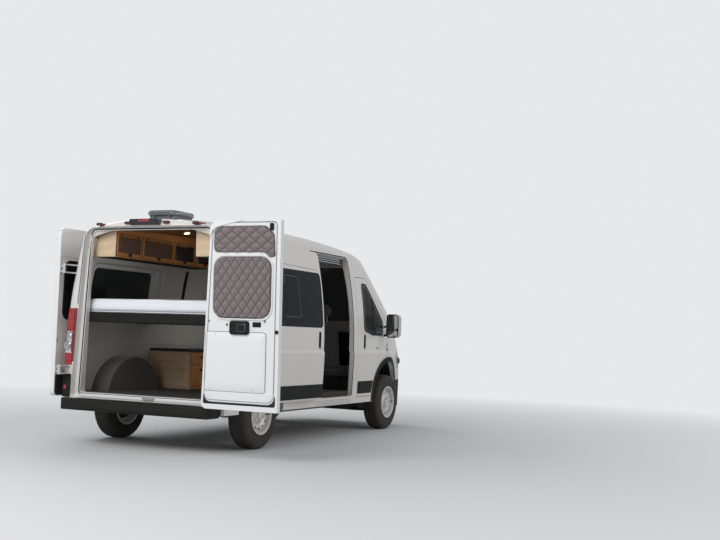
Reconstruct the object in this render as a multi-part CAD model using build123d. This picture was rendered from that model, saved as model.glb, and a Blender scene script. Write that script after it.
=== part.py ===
"""Camper van: a high-roofed panel van with a bed, cabinets and a roof fan, its rear and side doors open.

Vehicle frame while modelling: X forward from the rear axle, Y to the left, Z up from the ground, millimetres.
Every piece is moved at the end so that the origin is the middle of the whole van's footprint.
"""

from build123d import *
from functools import cache
import os

# Overall sizes of the van
WHEELBASE = 3450
FRONT_OVERHANG = 948
REAR_OVERHANG = 1015
HALF_WIDTH = 1025
ROOF_Z = 2524
NOSE_X = WHEELBASE + FRONT_OVERHANG

# Body cross-section: half widths and the heights where they apply
SILL_HALF = 1000
BELT_HALF = 1012
MID_HALF = 957
MID_Z = 1900
EAVES_HALF = 845
EAVES_Z = 2425
EAVES_RADIUS = 140
SKIRT_Z = 280
SILL_Z = 400
CREASE_Z = 1050
RECESS_Z = 1085
JOIN_Z = 1110
BELT_Z = 1300
ROOF_ARC = 19000
ROOF_PEAK_X = 850
ROOF_HALF_TURN = 12

# Tail and nose of the body
TAIL_X = -935
TAIL_LEAN = 75
TAIL_LEAN_HEIGHT = 2400
TAIL_RADIUS = 70
NOSE_CENTRE_X = 900
SCREEN_BASE_X = 3830
SCREEN_BASE_Z = 1375
SCREEN_TOP_X = 2900
SCREEN_TOP_Z = 2290

# Walls, gaps and glass
WALL = 55
GLASS = 8
DOOR_GAP = 6
SEAT_GAP = 0.3
SEAL_GAP = 8
LINING = 12
PAD = 26
PAD_OUTER = 762
CLADDING = 7
STRIP_BOTTOM = 520
STRIP_TOP = 680
WINDOW_RIM = 45

# Wheels and arches
TYRE_RADIUS = 372
TYRE_WIDTH = 225
TYRE_BORE = 205
RIM_LIP_RADIUS = 218
AXLE_Z = 372
TRACK_FRONT = 1810
TRACK_REAR = 1790
ARCH_RADIUS = 480
ARCH_Z = 450
ARCH_TRIM = 65
LINER = 8
FRONT_LINER_HALF = 575
REAR_LINER_HALF = 711
KINGPIN_HALF = 860
KINGPIN_RADIUS = 16
STRUT_HALF = 738
STRUT_RADIUS = 26
HUB_RADIUS = 70
VENT_HOLES = 12

# Load floor and where the panels meet
FLOOR_TOP = 560
FLOOR_THICK = 60
CAB_FLOOR_TOP = 450
CAB_FLOOR_THICK = 40
CAB_FLOOR_X = 2290
TOE_X = 3010
REAR_FRAME_X = -770
RAIL_TOP = FLOOR_TOP - FLOOR_THICK - SEAT_GAP
FRONT_RAIL_TOP = CAB_FLOOR_TOP - CAB_FLOOR_THICK - SEAT_GAP
RAIL_DEPTH = 84
RAIL_INNER = 470
RAIL_OUTER = 545
LEAF_TOP = 485
EXHAUST_RADIUS = 28
EXHAUST_Z = FRONT_RAIL_TOP - RAIL_DEPTH - EXHAUST_RADIUS - SEAT_GAP
RAIL_STEP_X = 2200
CAB_X = 2330
ROOF_FRONT_X = 2560
ROOF_SPLIT_Z = 2312
ROOF_RIBS = (-520, -290, 290, 520)
BUMPER_TOP_Z = 660
BUMPER_REAR_X = WHEELBASE + ARCH_RADIUS + 20

# Holes for a tow bar in the chassis rails
TOW_HOLES_X = (-640, -440)
TOW_HOLE_RADIUS = 6.5

# Rear doors, seen from behind: half widths at the bottom and the top of the pair
REAR_SILL_Z = 495
REAR_DOOR_BOTTOM = 505
REAR_DOOR_TOP = 2365
REAR_DOOR_HALF_LOW = 872
REAR_DOOR_HALF_HIGH = 805
REAR_OPENING_HALF_LOW = 800
REAR_OPENING_HALF_HIGH = 770
REAR_OPENING_TOP = 2335
REAR_DOOR_FRONT_X = -800
REAR_HINGE_X = -1040
REAR_HINGE_HALF = 940
REAR_HINGE_HEIGHTS = (800, 1900)
LEFT_DOOR_OPEN = 270
RIGHT_DOOR_OPEN = 180

# Sliding door on the right side
SLIDE_REAR_X = 985
SLIDE_FRONT_X = 2268
SLIDE_BOTTOM = 500
SLIDE_TOP = 2265
SLIDE_TRAVEL = 985
SLIDE_OUT = 80

# Cab doors
CAB_DOOR_REAR_X = 2420
CAB_DOOR_FRONT_X = 3385
CAB_DOOR_BOTTOM = 480
CAB_DOOR_TOP = 2040
CAB_HINGE_X = 3392
CAB_HINGE_HALF = 1027
CAB_HINGE_HEIGHTS = (1130, 1340)
CAB_HANDLE_X = 2640
SLIDE_HANDLE_X = 2160
HANDLE_Z = (1115, 1285)
HANDLE_WIDTH = 60
HANDLE_GRIP = 24
MIRROR_REAR_X = 3120
MIRROR_HALVES = (1105, 1285)
MIRROR_HEIGHTS = (1260, 1580)
MIRROR_RIM = 14
STEERING_CENTRE = (3060, 480, 1170)
STEERING_TILT = 62

# Furniture
BED_REAR_X = -755
BED_FRONT_X = 615
BED_TOP = 1430
BED_FRAME = 100
MATTRESS = 165
CABINET_BOTTOM = 2055
CABINET_FACE_HALF = 530
GALLEY_REAR_X = 640
GALLEY_FRONT_X = 1900
GALLEY_FACE_Y = 380

# Roof fan
FAN_X = -430
FAN_LID_Z = 2520
FAN_LID_LENGTH = 420
FAN_LID_WIDTH = 370
FAN_BASE_HALF = 165
FAN_LID_WALL = 20
FAN_LID_HOLLOW = 33
FAN_HINGE_X = FAN_X - FAN_LID_LENGTH / 2 + FAN_LID_WALL + FAN_LID_HOLLOW
FAN_EARS = (90, 115)

# Bonnet and its two hinges: the barrel and the ears on both sides of it, along Y
BONNET_REAR_X = 3850
BONNET_HALF = 700
BONNET_FRONT_Z = 985
BONNET_HINGE_Z = 1362
BONNET_PIN_RADIUS = 8
BONNET_BARREL = (150, 190)
BONNET_EAR = 20


def outline(corners):
    """Closed face through (a, b, radius) corners, each rounded by its radius."""
    face = make_face(Polyline(*[(a, b) for a, b, _ in corners], close=True))
    for a, b, radius in corners:
        if radius:
            vertex = face.vertices().sort_by_distance((a, b, 0))[0]
            face = fillet(vertex, radius)
    return face


def across(face, y0, y1):
    """Prism of a side-view (X, Z) face between two Y values."""
    return Pos(0, y0, 0) * extrude(Plane.XZ * face, amount=-(y1 - y0))


def along(face, x0, x1):
    """Prism of a rear-view (Y, Z) face between two X values."""
    return Pos(x0, 0, 0) * extrude(Plane.YZ * face, amount=x1 - x0)


def upright(face, z0, z1):
    """Prism of a plan-view (X, Y) face between two Z values."""
    return Pos(0, 0, z0) * extrude(face, amount=z1 - z0)


def block(x0, x1, y0, y1, z0, z1):
    """Box between two corners."""
    return Pos((x0 + x1) / 2, (y0 + y1) / 2, (z0 + z1) / 2) * Box(x1 - x0, y1 - y0, z1 - z0)


def side_prism(face, side, y0=600, y1=1400):
    """Prism of a side-view face on the left (side 1) or the right (side -1) of the van."""
    return across(face, y0, y1) if side > 0 else across(face, -y1, -y0)


def disc(radius, x, z, y0, y1):
    """Cylinder about a cross axis between two Y values."""
    return Pos(x, (y0 + y1) / 2, z) * Rot(90, 0, 0) * Cylinder(radius, abs(y1 - y0))


def rod(start, end, radius):
    """Round bar between two points."""
    path = Vector(*end) - Vector(*start)
    plane = Plane(origin=start, z_dir=path)
    return extrude(plane * Circle(radius), amount=path.length)


def turned(shape, x, y, degrees):
    """Shape turned about an upright axis."""
    return shape.rotate(Axis((x, y, 0), (0, 0, 1)), degrees)


# Body envelope


def inward(edge, at, inset):
    """Point of an edge moved toward the body's middle, square to the edge."""
    point, along_edge = edge @ at, edge % at
    normal = Vector(along_edge.Y, -along_edge.X)
    if normal.dot(point - Vector(0, BELT_Z)) > 0:
        normal = -normal
    return point + normal * inset


def section(inset, bottom):
    """Cross-section of the body at its highest point, shrunk by inset."""
    belt, middle, eaves = (BELT_HALF, BELT_Z), (MID_HALF, MID_Z), (EAVES_HALF, EAVES_Z)
    wall = ThreePointArc(belt, middle, eaves)
    roof = ThreePointArc(eaves, (0, ROOF_Z), (-EAVES_HALF, EAVES_Z))
    corner = inward(wall, 1, inset) + inward(roof, 0, inset) - Vector(*eaves)
    bulge = inward(wall, 0.5, inset)
    edges = [Line((inset - SILL_HALF, bottom), (SILL_HALF - inset, bottom))]
    edges.append(ThreePointArc((-corner.X, corner.Y), (0, ROOF_Z - inset), (corner.X, corner.Y)))
    for side in (-1, 1):
        sill = (side * (SILL_HALF - inset), bottom)
        crease = (side * (HALF_WIDTH - inset), CREASE_Z)
        recess = (side * (BELT_HALF - inset), RECESS_Z)
        belt = (side * (BELT_HALF - inset), BELT_Z)
        edges.append(Polyline(sill, crease, recess, belt))
        edges.append(ThreePointArc(belt, (side * bulge.X, bulge.Y), (side * corner.X, corner.Y)))
    face = make_face(edges)
    top = face.vertices().filter_by(lambda v: v.Y > MID_Z + 200)
    return fillet(top, EAVES_RADIUS - inset)


def nose_profile():
    """Side view of the nose and windscreen on the middle line."""
    return outline(
        [
            (NOSE_CENTRE_X, 100, 0),
            (NOSE_X - 60, 100, 0),
            (NOSE_X - 40, 330, 60),
            (NOSE_X, 620, 300),
            (NOSE_X - 70, 985, 130),
            (SCREEN_BASE_X, SCREEN_BASE_Z, 160),
            (SCREEN_TOP_X, SCREEN_TOP_Z, 420),
            (SCREEN_TOP_X - 420, 2462, 1200),
            (SCREEN_TOP_X - 1400, 2620, 0),
            (NOSE_CENTRE_X, 2640, 0),
        ]
    )


def plan_profile():
    """Plan view of the body: straight sides, with the nose drawn in."""
    return outline(
        [
            (TAIL_X - 300, -1300, 0),
            (3000, -1300, 0),
            (3350, -1060, 900),
            (4500, -760, 0),
            (4500, 760, 0),
            (3350, 1060, 900),
            (3000, 1300, 0),
            (TAIL_X - 300, 1300, 0),
        ]
    )


@cache
def envelope(inset=0):
    """Solid inside the body's outer skin, shrunk by inset all round and left open below."""
    bottom = SKIRT_Z if inset <= 0 else SKIRT_Z - 4 * inset
    face = section(inset, bottom)
    below = Pos(0, JOIN_Z / 2) * Rectangle(4000, JOIN_Z)
    lower = along(face & below, TAIL_X - 200, NOSE_X + 200)
    roof_axis = Axis((ROOF_PEAK_X, 0, ROOF_Z - ROOF_ARC), (0, 1, 0))
    upper = revolve(Plane.YZ.offset(ROOF_PEAK_X) * (face - below), roof_axis, 2 * ROOF_HALF_TURN)
    upper = upper.rotate(roof_axis, -ROOF_HALF_TURN)
    hull = lower + upper
    lean = TAIL_LEAN * 3000 / TAIL_LEAN_HEIGHT
    tail = [(TAIL_X + inset, 0, 0), (5000, 0, 0), (5000, 3000, 0), (TAIL_X + inset + lean, 3000, 0)]
    hull = hull & across(outline(tail), -1300, 1300)
    profile = nose_profile()
    plan = plan_profile()
    if inset:
        profile = offset(profile, -inset, kind=Kind.INTERSECTION)
        plan = offset(plan, -inset, kind=Kind.INTERSECTION)
    ahead = Pos(NOSE_CENTRE_X + 2500, 1500) * Rectangle(5000, 3000)
    profile = profile & ahead
    nose = revolve(Plane.XZ * profile, Axis((NOSE_CENTRE_X, 0, 0), (0, 0, 1)))
    nose += block(TAIL_X - 300, NOSE_CENTRE_X + 400, -1300, 1300, 0, 2700)
    return hull & nose & upright(plan, 0, 3000)


def rounded_tail(hull):
    """Envelope with the edge round its tail rounded over."""
    tail = hull.faces().sort_by(Axis.X)[0]
    ring = [edge for edge in tail.edges() if edge.center().Z > SKIRT_Z + 1]
    return fillet(ring, TAIL_RADIUS)


HULL = rounded_tail(envelope())
INNER = envelope(WALL)
LINED = envelope(WALL + LINING)
SHELL = HULL - INNER
SKIN = HULL - envelope(GLASS)


# Outlines of doors and windows


def slide_face(grow=0):
    """Side view of the closed sliding door."""
    x0, x1 = SLIDE_REAR_X - grow, SLIDE_FRONT_X + grow
    z0, z1 = SLIDE_BOTTOM - grow, SLIDE_TOP + grow
    return outline([(x0, z0, 30), (x1, z0, 30), (x1, z1, 60), (x0, z1, 60)])


def cab_door_face(grow=0):
    """Side view of a cab door, cut back round the wheel arch."""
    x0, x1 = CAB_DOOR_REAR_X - grow, CAB_DOOR_FRONT_X + grow
    z0, z1 = CAB_DOOR_BOTTOM - grow, CAB_DOOR_TOP + grow
    face = outline(
        [(x0, z0, 30), (x1, z0, 0), (x1, 1440 + grow, 60), (2775 + grow, z1, 120), (x0, z1, 60)]
    )
    return face - Pos(WHEELBASE, ARCH_Z) * Circle(ARCH_RADIUS + ARCH_TRIM + 20 - grow)


def rear_doors_face(grow=0):
    """Rear view of both rear doors together."""
    low, high = REAR_DOOR_HALF_LOW + grow, REAR_DOOR_HALF_HIGH + grow
    z0, z1 = REAR_DOOR_BOTTOM - grow, REAR_DOOR_TOP + grow
    return outline([(-low, z0, 60), (low, z0, 60), (high, z1, 90), (-high, z1, 90)])


def rear_opening_face():
    """Rear view of the clear opening behind the rear doors."""
    low, high = REAR_OPENING_HALF_LOW, REAR_OPENING_HALF_HIGH
    z0, z1 = FLOOR_TOP, REAR_OPENING_TOP
    return outline([(-low, z0, 25), (low, z0, 25), (high, z1, 50), (-high, z1, 50)])


def cab_window_face(inset=0):
    """Side view of a cab door's window."""
    grow = -inset
    return outline(
        [
            (2625 - grow, 1345 - grow, 60),
            (2880, 1290 - grow, 200),
            (3235 + grow, 1290 - grow, 60),
            (3235 + grow, 1480 + grow * 0.4, 60),
            (2765 + grow * 0.4, 1965 + grow, 60),
            (2625 - grow, 1965 + grow, 45),
        ]
    )


def slide_window_face(inset=0):
    """Side view of the sliding door's window, door closed."""
    x0, x1 = SLIDE_REAR_X + 40 + inset, SLIDE_FRONT_X - 32 - inset
    z0, z1 = 1352 + inset, 2010 - inset
    return outline([(x0, z0, 50), (x1, z0, 50), (x1, z1, 50), (x0, z1, 50)])


def side_window_face(inset=0):
    """Side view of the fixed windows behind the doors."""
    x0, x1, z0, z1 = -640 + inset, 600 - inset, 1352 + inset, 1990 - inset
    return outline([(x0, z0, 70), (x1, z0, 70), (x1, z1, 70), (x0, z1, 70)])


def rear_window_face(side, inset=0):
    """Rear view of a rear door's window."""
    inner, low, high = 165 + inset, 770 - inset, 735 - inset
    z0, z1 = 1345 + inset, 2000 - inset
    return outline(
        [(side * inner, z0, 90), (side * low, z0, 90), (side * high, z1, 90), (side * inner, z1, 90)]
    )


def screen_face(inset=0):
    """Front view of the windscreen."""
    low, high = 840 - inset, 700 - inset
    z0, z1 = 1430 + inset, 2235 - inset
    return outline([(-low, z0, 90), (low, z0, 90), (high, z1, 90), (-high, z1, 90)])


def glazed(panel, prism_of, skin=SKIN):
    """Panel with a rebate for the glass and a hole inside it, and the glass."""
    panel = panel - (skin & prism_of(0)) - prism_of(WINDOW_RIM)
    return panel, skin & prism_of(0)


# Body panels


def arch_prism(x, side, radius=ARCH_RADIUS):
    """Wheel arch opening through one side of the body."""
    y0, y1 = sorted((side * 700, side * 1300))
    return disc(radius, x, ARCH_Z, y0, y1)


def side_panel(side):
    """Body side between the rear frame and the cab, with its window, door and arch openings."""
    panel = SHELL & block(REAR_FRAME_X, CAB_X, *sorted((0, side * 1300)), SILL_Z, ROOF_SPLIT_Z)
    panel -= arch_prism(0, side)
    panel, glass = glazed(panel, lambda inset: side_prism(side_window_face(inset), side))
    if side < 0:
        panel -= side_prism(slide_face(DOOR_GAP), side)
        glass = glass - side_prism(slide_face(DOOR_GAP), side)
    return panel, glass


def roof_panel():
    """Roof from the rear header to the top of the windscreen."""
    roof = SHELL & block(REAR_FRAME_X, ROOF_FRONT_X, -1300, 1300, ROOF_SPLIT_Z, 2700)
    raised = envelope(-CLADDING) - HULL
    for y in ROOF_RIBS:
        roof += raised & block(REAR_FRAME_X + 90, ROOF_FRONT_X - 160, y - 30, y + 30, ROOF_SPLIT_Z, 2700)
    return roof


def lamp_pocket(side):
    """Prism of one tail lamp, seen from behind."""
    y0, y1 = sorted((side * 882, side * 1200))
    return block(-1100, -845, y0, y1, 850, 1470)


def rear_frame():
    """Rear pillars, header and sill, with the step that the doors close against."""
    frame = SHELL & block(-1200, REAR_FRAME_X, -1300, 1300, REAR_SILL_Z, 2700)
    doors = along(rear_doors_face(DOOR_GAP), -1300, REAR_DOOR_FRONT_X + DOOR_GAP)
    half = REAR_DOOR_HALF_LOW - 60
    doors += block(-1300, REAR_DOOR_FRONT_X + DOOR_GAP, -half, half, 0, REAR_DOOR_BOTTOM)
    inside = block(-1200, REAR_FRAME_X, -1300, 1300, REAR_SILL_Z, 2700)
    step = envelope(WALL + SEAL_GAP) & inside
    ring = (INNER & inside) - step - doors
    frame = (frame - doors) + ring + step
    frame -= along(rear_opening_face(), -1300, REAR_FRAME_X + 50)
    for side in (-1, 1):
        frame -= lamp_pocket(side) & (HULL - envelope(40))
    return frame


def bonnet_prism(grow=0):
    """Plan of the bonnet."""
    half, rear = BONNET_HALF + grow, BONNET_REAR_X - grow
    face = outline([(rear, -half, 50), (4600, -half, 0), (4600, half, 0), (rear, half, 50)])
    return upright(face, BONNET_FRONT_Z - grow, 2000)


def bonnet_pin(side, y0, y1, radius=BONNET_PIN_RADIUS):
    """Round stretch of a bonnet hinge between two distances from the middle."""
    return disc(radius, BONNET_REAR_X, BONNET_HINGE_Z, *sorted((side * y0, side * y1)))


def bonnet_ears(side):
    """Body half of one bonnet hinge: an ear on each side of the barrel, and the leaf under them."""
    ears = None
    y0, y1 = BONNET_BARREL
    for a, b in ((y0 - BONNET_EAR, y0 - SEAT_GAP), (y1 + SEAT_GAP, y1 + BONNET_EAR)):
        ear = bonnet_pin(side, a, b)
        low = BONNET_HINGE_Z - BONNET_PIN_RADIUS
        ear += block(BONNET_REAR_X - 30, BONNET_REAR_X, *sorted((side * a, side * b)), low, BONNET_HINGE_Z)
        ears = ear if ears is None else ears + ear
    return ears


def grille_prism(grow=0):
    """Front view of the grille opening."""
    low, high = 560 + grow, 640 + grow
    z0, z1 = 690 - grow, 950 + grow
    face = outline([(-low, z0, 40), (low, z0, 40), (high, z1, 40), (-high, z1, 40)])
    return along(face, 3950, 4600)


def headlamp_prism(side, grow=0):
    """Front view of one headlamp."""
    face = outline(
        [
            (side * (690 - grow), 800 - grow, 50),
            (side * 1100, 880 - grow, 0),
            (side * 1100, 1130 + grow, 0),
            (side * (725 - grow), 1040 + grow, 50),
        ]
    )
    return along(face, 4020 - grow, 4600)


def cab_front():
    """Wings, cowl, pillars and windscreen frame of the cab."""
    region = block(CAB_X, 4600, -1300, 1300, SILL_Z, 2700)
    region -= block(CAB_X, ROOF_FRONT_X, -1300, 1300, ROOF_SPLIT_Z, 2700)
    shell = SHELL & region
    shell -= block(BUMPER_REAR_X, 4600, -1300, 1300, 0, BUMPER_TOP_Z)
    shell, screen = glazed(shell, lambda inset: along(screen_face(inset), 2600, 4600))
    for side in (-1, 1):
        shell -= arch_prism(WHEELBASE, side)
        shell -= side_prism(cab_door_face(DOOR_GAP), side)
        shell -= headlamp_prism(side, SEAT_GAP)
    shell -= bonnet_prism(DOOR_GAP)
    shell -= grille_prism(SEAT_GAP)
    shell = max(shell.solids(), key=lambda solid: solid.volume)
    for side in (-1, 1):
        shell -= bonnet_pin(side, *BONNET_BARREL, BONNET_PIN_RADIUS + DOOR_GAP)
        shell += bonnet_ears(side)
    return shell, screen


def front_bumper():
    """Moulded bumper under the grille, wrapped round to the arches."""
    bumper = SHELL & block(BUMPER_REAR_X, 4600, -1300, 1300, SKIRT_Z, BUMPER_TOP_Z - 1)
    intake = outline([(-480, 360, 40), (480, 360, 40), (540, 540, 40), (-540, 540, 40)])
    bumper -= along(intake, 4000, 4600)
    for side in (-1, 1):
        bumper -= disc(ARCH_RADIUS, WHEELBASE, ARCH_Z, *sorted((side * 500, side * 1300)))
    bars = (HULL - envelope(30)) & along(intake, 4000, 4600)
    for z in (405, 450, 495):
        bumper += bars & block(4000, 4600, -600, 600, z - 7, z + 7)
    return bumper


def grille():
    """Upper grille: a frame with slats across it."""
    skin = HULL - envelope(35)
    frame = (skin & grille_prism()) - (skin & grille_prism(-28))
    slats = envelope(6) - envelope(30)
    for z in range(735, 930, 48):
        frame += slats & grille_prism(-10) & block(3950, 4600, -700, 700, z - 9, z + 9)
    return frame


def headlamps():
    """Both headlamps."""
    lamps = []
    for side in (-1, 1):
        lamps.append((HULL - envelope(WALL)) & headlamp_prism(side))
    return Compound(children=[lamp.solids()[0] for lamp in lamps])


def tail_lamps():
    """Stacked tail lamps: red block, clear block and red block on each rear pillar."""
    solids = []
    body = (HULL - envelope(40)) & block(-1100, -847, -1200, 1200, 852, 1468)
    for side in (-1, 1):
        pocket = block(-1100, -847, *sorted((side * 884, side * 1200)), 852, 1468)
        for z0, z1 in ((852, 978), (980, 1218), (1220, 1468)):
            solids.append((body & pocket & block(-1100, -800, -1200, 1200, z0, z1)).solids()[0])
    return Compound(children=solids)


def header_lamps():
    """Marker lamps and stop lamp housing on the rear header."""
    solids = []
    for y, z in ((-625, 2396), (-250, 2408), (250, 2408), (625, 2396)):
        lamp = Pos(TAIL_X + 128, y, z) * Box(140, 74, 26)
        solids.append(fillet(lamp.edges().filter_by(Axis.X), 10).solids()[0])
    housing = Pos(TAIL_X + 82, 18, 2412) * Box(90, 390, 66)
    solids.append(fillet(housing.edges().filter_by(Axis.X), 24).solids()[0])
    return Compound(children=[(solid - HULL).solids()[0] for solid in solids])


def rear_bumper():
    """Rear bumper and step under the rear doors, rounded at its corners."""
    face = outline(
        [
            (-REAR_OVERHANG, -965, 90),
            (REAR_FRAME_X - 5, -965, 0),
            (REAR_FRAME_X - 5, 965, 0),
            (-REAR_OVERHANG, 965, 90),
        ]
    )
    low, high = 370, REAR_SILL_Z - SEAT_GAP
    front = REAR_FRAME_X - 5
    side_view = [(-REAR_OVERHANG, low, 50), (front, low, 0), (front, high, 0), (-REAR_OVERHANG, high, 14)]
    rear_view = [(-965, low, 50), (965, low, 50), (965, high, 14), (-965, high, 14)]
    bumper = upright(face, low, high) & across(outline(side_view), -1000, 1000)
    bumper &= along(outline(rear_view), -REAR_OVERHANG, front)
    return bumper - block(TAIL_X + 30, REAR_FRAME_X, -905, 905, 0, REAR_SILL_Z - 20)


# Doors


def rear_door(side):
    """One closed rear door with its hinge straps, and its glass."""
    half = block(-1300, -700, *sorted((side * DOOR_GAP, side * 1300)), 0, 3000)
    door = SHELL & along(rear_doors_face(), -1300, REAR_DOOR_FRONT_X) & half
    door, glass = glazed(door, lambda inset: along(rear_window_face(side, inset), -1300, REAR_FRAME_X))
    return door, glass


def hinge_strap(side, z):
    """Arm from a rear door's skin out to the hinge pin."""
    x_skin = TAIL_X + TAIL_LEAN * z / TAIL_LEAN_HEIGHT
    rise = (z - REAR_DOOR_BOTTOM) / (REAR_DOOR_TOP - REAR_DOOR_BOTTOM)
    y_edge = REAR_DOOR_HALF_LOW + (REAR_DOOR_HALF_HIGH - REAR_DOOR_HALF_LOW) * rise
    y_skin = side * (y_edge - 50)
    arm = outline(
        [
            (x_skin + 2, y_skin - side * 20, 0),
            (x_skin + 2, y_skin + side * 36, 0),
            (REAR_HINGE_X + 16, side * (REAR_HINGE_HALF + 4), 0),
            (REAR_HINGE_X - 14, side * (REAR_HINGE_HALF + 4), 0),
            (x_skin - 22, y_skin - side * 20, 0),
        ]
    )
    strap = upright(arm, z - 35, z + 35)
    y0, y1 = sorted((y_skin, side * (REAR_HINGE_HALF - 22)))
    strap -= block(REAR_HINGE_X - 60, x_skin - 24, y0, y1, z - 16, z + 16)
    strap += Pos(REAR_HINGE_X, side * REAR_HINGE_HALF, z) * Cylinder(17, 70)
    return strap


def hinge_bracket(side, z):
    """Body half of a rear hinge: two ears that hold the pin above and below the strap."""
    x_skin = TAIL_X + TAIL_LEAN * z / TAIL_LEAN_HEIGHT
    ears = []
    for z0, z1 in ((z - 50, z - 35 - SEAT_GAP), (z + 35 + SEAT_GAP, z + 50)):
        face = outline(
            [
                (x_skin + 30, side * 905, 0),
                (x_skin + 30, side * 985, 0),
                (REAR_HINGE_X - 14, side * (REAR_HINGE_HALF + 16), 10),
                (REAR_HINGE_X - 14, side * (REAR_HINGE_HALF - 16), 10),
            ]
        )
        ears.append(upright(face, z0, z1) - HULL)
    return ears[0] + ears[1]


def upright_slot(x, z0, z1, width, radius):
    """Side view of a tall rounded rectangle about one X."""
    x0, x1 = x - width / 2, x + width / 2
    return outline([(x0, z0, radius), (x1, z0, radius), (x1, z1, radius), (x0, z1, radius)])


def handled(door, x, z0, z1, side):
    """Door with an upright handle: a hollow in its skin and a grip across it."""
    hollow = upright_slot(x, z0, z1, HANDLE_WIDTH, 24)
    door = door - ((HULL - envelope(30)) & side_prism(hollow, side))
    grip = upright_slot(x, z0 - 12, z1 + 12, HANDLE_GRIP, 8)
    return door + ((envelope(-CLADDING) - envelope(GLASS)) & side_prism(grip, side))


def cab_door(side):
    """One closed cab door and its glass."""
    prism = side_prism(cab_door_face(), side)
    door = handled(SHELL & prism, CAB_HANDLE_X, *HANDLE_Z, side)
    return glazed(door, lambda inset: side_prism(cab_window_face(inset), side))


def sliding_door():
    """Right side door, drawn closed and moved back along its tracks."""
    door = handled(SHELL & side_prism(slide_face(), -1), SLIDE_HANDLE_X, *HANDLE_Z, -1)
    door, glass = glazed(door, lambda inset: side_prism(slide_window_face(inset), -1))
    away = Pos(-SLIDE_TRAVEL, -SLIDE_OUT, 0)
    return away * door - Pos(0, -SEAT_GAP, 0) * HULL, away * glass


def slide_track():
    """Middle track of the sliding door with the arm that carries it, and the lips of the upper track."""
    solids = []
    half = BELT_HALF
    rail = block(-620, SLIDE_REAR_X, -half - 14, -half + 1, 1180, 1215) - HULL
    arm = block(60, 140, WALL - half - SLIDE_OUT + SEAT_GAP, -half - 14, 1182, 1213)
    solids.append((rail + arm).solids()[0])
    top = SLIDE_TOP + DOOR_GAP - SEAT_GAP
    lips = block(SLIDE_REAR_X + 70, SLIDE_FRONT_X - 70, -868, -818, top - 4, top)
    for y, drop in ((-868, 10), (-846, 18), (-824, 24)):
        lips += block(SLIDE_REAR_X + 70, SLIDE_FRONT_X - 70, y, y + 6, top - drop, top)
    solids.append(lips.solids()[0])
    return Compound(children=solids)


def bonnet():
    """Short sloping bonnet with its hinge barrels."""
    skin = HULL - envelope(40)
    panel = (skin & bonnet_prism()).solids().sort_by(SortBy.VOLUME)[-1]
    y0, y1 = BONNET_BARREL
    low = BONNET_HINGE_Z - 2 * BONNET_PIN_RADIUS
    reach = BONNET_EAR + DOOR_GAP
    for side in (-1, 1):
        panel -= bonnet_pin(side, y0 - reach, y1 + reach, BONNET_PIN_RADIUS + DOOR_GAP)
        panel += bonnet_pin(side, y0, y1)
        leaf_y = sorted((side * y0, side * y1))
        panel += block(BONNET_REAR_X, BONNET_REAR_X + 16, *leaf_y, low, BONNET_HINGE_Z)
    return panel


def mirror_unit(side):
    """Door mirror: a deep housing on two arms."""
    y0, y1 = side * MIRROR_HALVES[0], side * MIRROR_HALVES[1]
    z0, z1 = MIRROR_HEIGHTS
    shape = outline([(y0, z0, 45), (y1, z0, 60), (y1, z1, 60), (y0, z1, 45)])
    housing = along(shape, MIRROR_REAR_X, MIRROR_REAR_X + 125)
    housing = fillet(housing.faces().sort_by(Axis.X)[-1].edges(), 36)
    a, b = y0 + side * MIRROR_RIM, y1 - side * MIRROR_RIM
    for low, high in ((z0 + MIRROR_RIM, z0 + 102), (z0 + 115, z1 - MIRROR_RIM)):
        glass = outline([(a, low, 30), (b, low, 40), (b, high, 40), (a, high, 30)])
        housing -= along(glass, MIRROR_REAR_X - 10, MIRROR_REAR_X + 6)
    arm_low = rod((3210, side * 1130, 1320), (3300, side * 995, 1285), 15)
    arm_high = rod((3210, side * 1130, 1450), (3305, side * 990, 1400), 13)
    return (housing + arm_low + arm_high) - HULL


def rear_pads(side):
    """Quilted pads on the inner face of a rear door: one over the window, one above it."""
    pads = []
    layer = INNER - envelope(WALL + PAD)
    inner, outer, low, high = side * 100, side * PAD_OUTER, 1405, 2005
    window = outline([(inner, low, 110), (outer, low, 110), (outer, high, 110), (inner, high, 110)])
    top = outline(
        [
            (side * 60, 2016, 15),
            (outer, 2045, 20),
            (outer, 2310, 40),
            (side * 170, 2310, 20),
            (side * 72, 2230, 20),
        ]
    )
    for face in (window, top):
        pads.append((layer & along(face, -1100, REAR_DOOR_FRONT_X + 18)).solids().sort_by(SortBy.VOLUME)[-1])
    return Compound(children=pads)


def pin_hinge(x, y, z, leaf, radius=9, half=25):
    """Barrel of an upright hinge with its leaf, and the ears above and below it."""
    barrel = Pos(x, y, z) * Cylinder(radius, 2 * half)
    barrel += leaf(-1, z - half, z + half)
    ears = None
    for z0 in (z - 2 * half, z + half + SEAT_GAP):
        ear = Pos(x, y, z0 + (half - SEAT_GAP) / 2) * Cylinder(radius, half - SEAT_GAP)
        ear += leaf(1, z0, z0 + half - SEAT_GAP)
        ears = ear if ears is None else ears + ear
    return barrel, ears


def cab_hinge(side, z):
    """Door half and body half of one cab door hinge."""

    def leaf(way, z0, z1):
        x0, x1 = sorted((CAB_HINGE_X + way * 4, CAB_HINGE_X + way * 40))
        return block(x0, x1, *sorted((side * (BELT_HALF - 20), side * (CAB_HINGE_HALF + 4))), z0, z1)

    door_half, body_half = pin_hinge(CAB_HINGE_X, side * CAB_HINGE_HALF, z, leaf)
    return door_half, body_half


# Wheels and running gear


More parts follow.
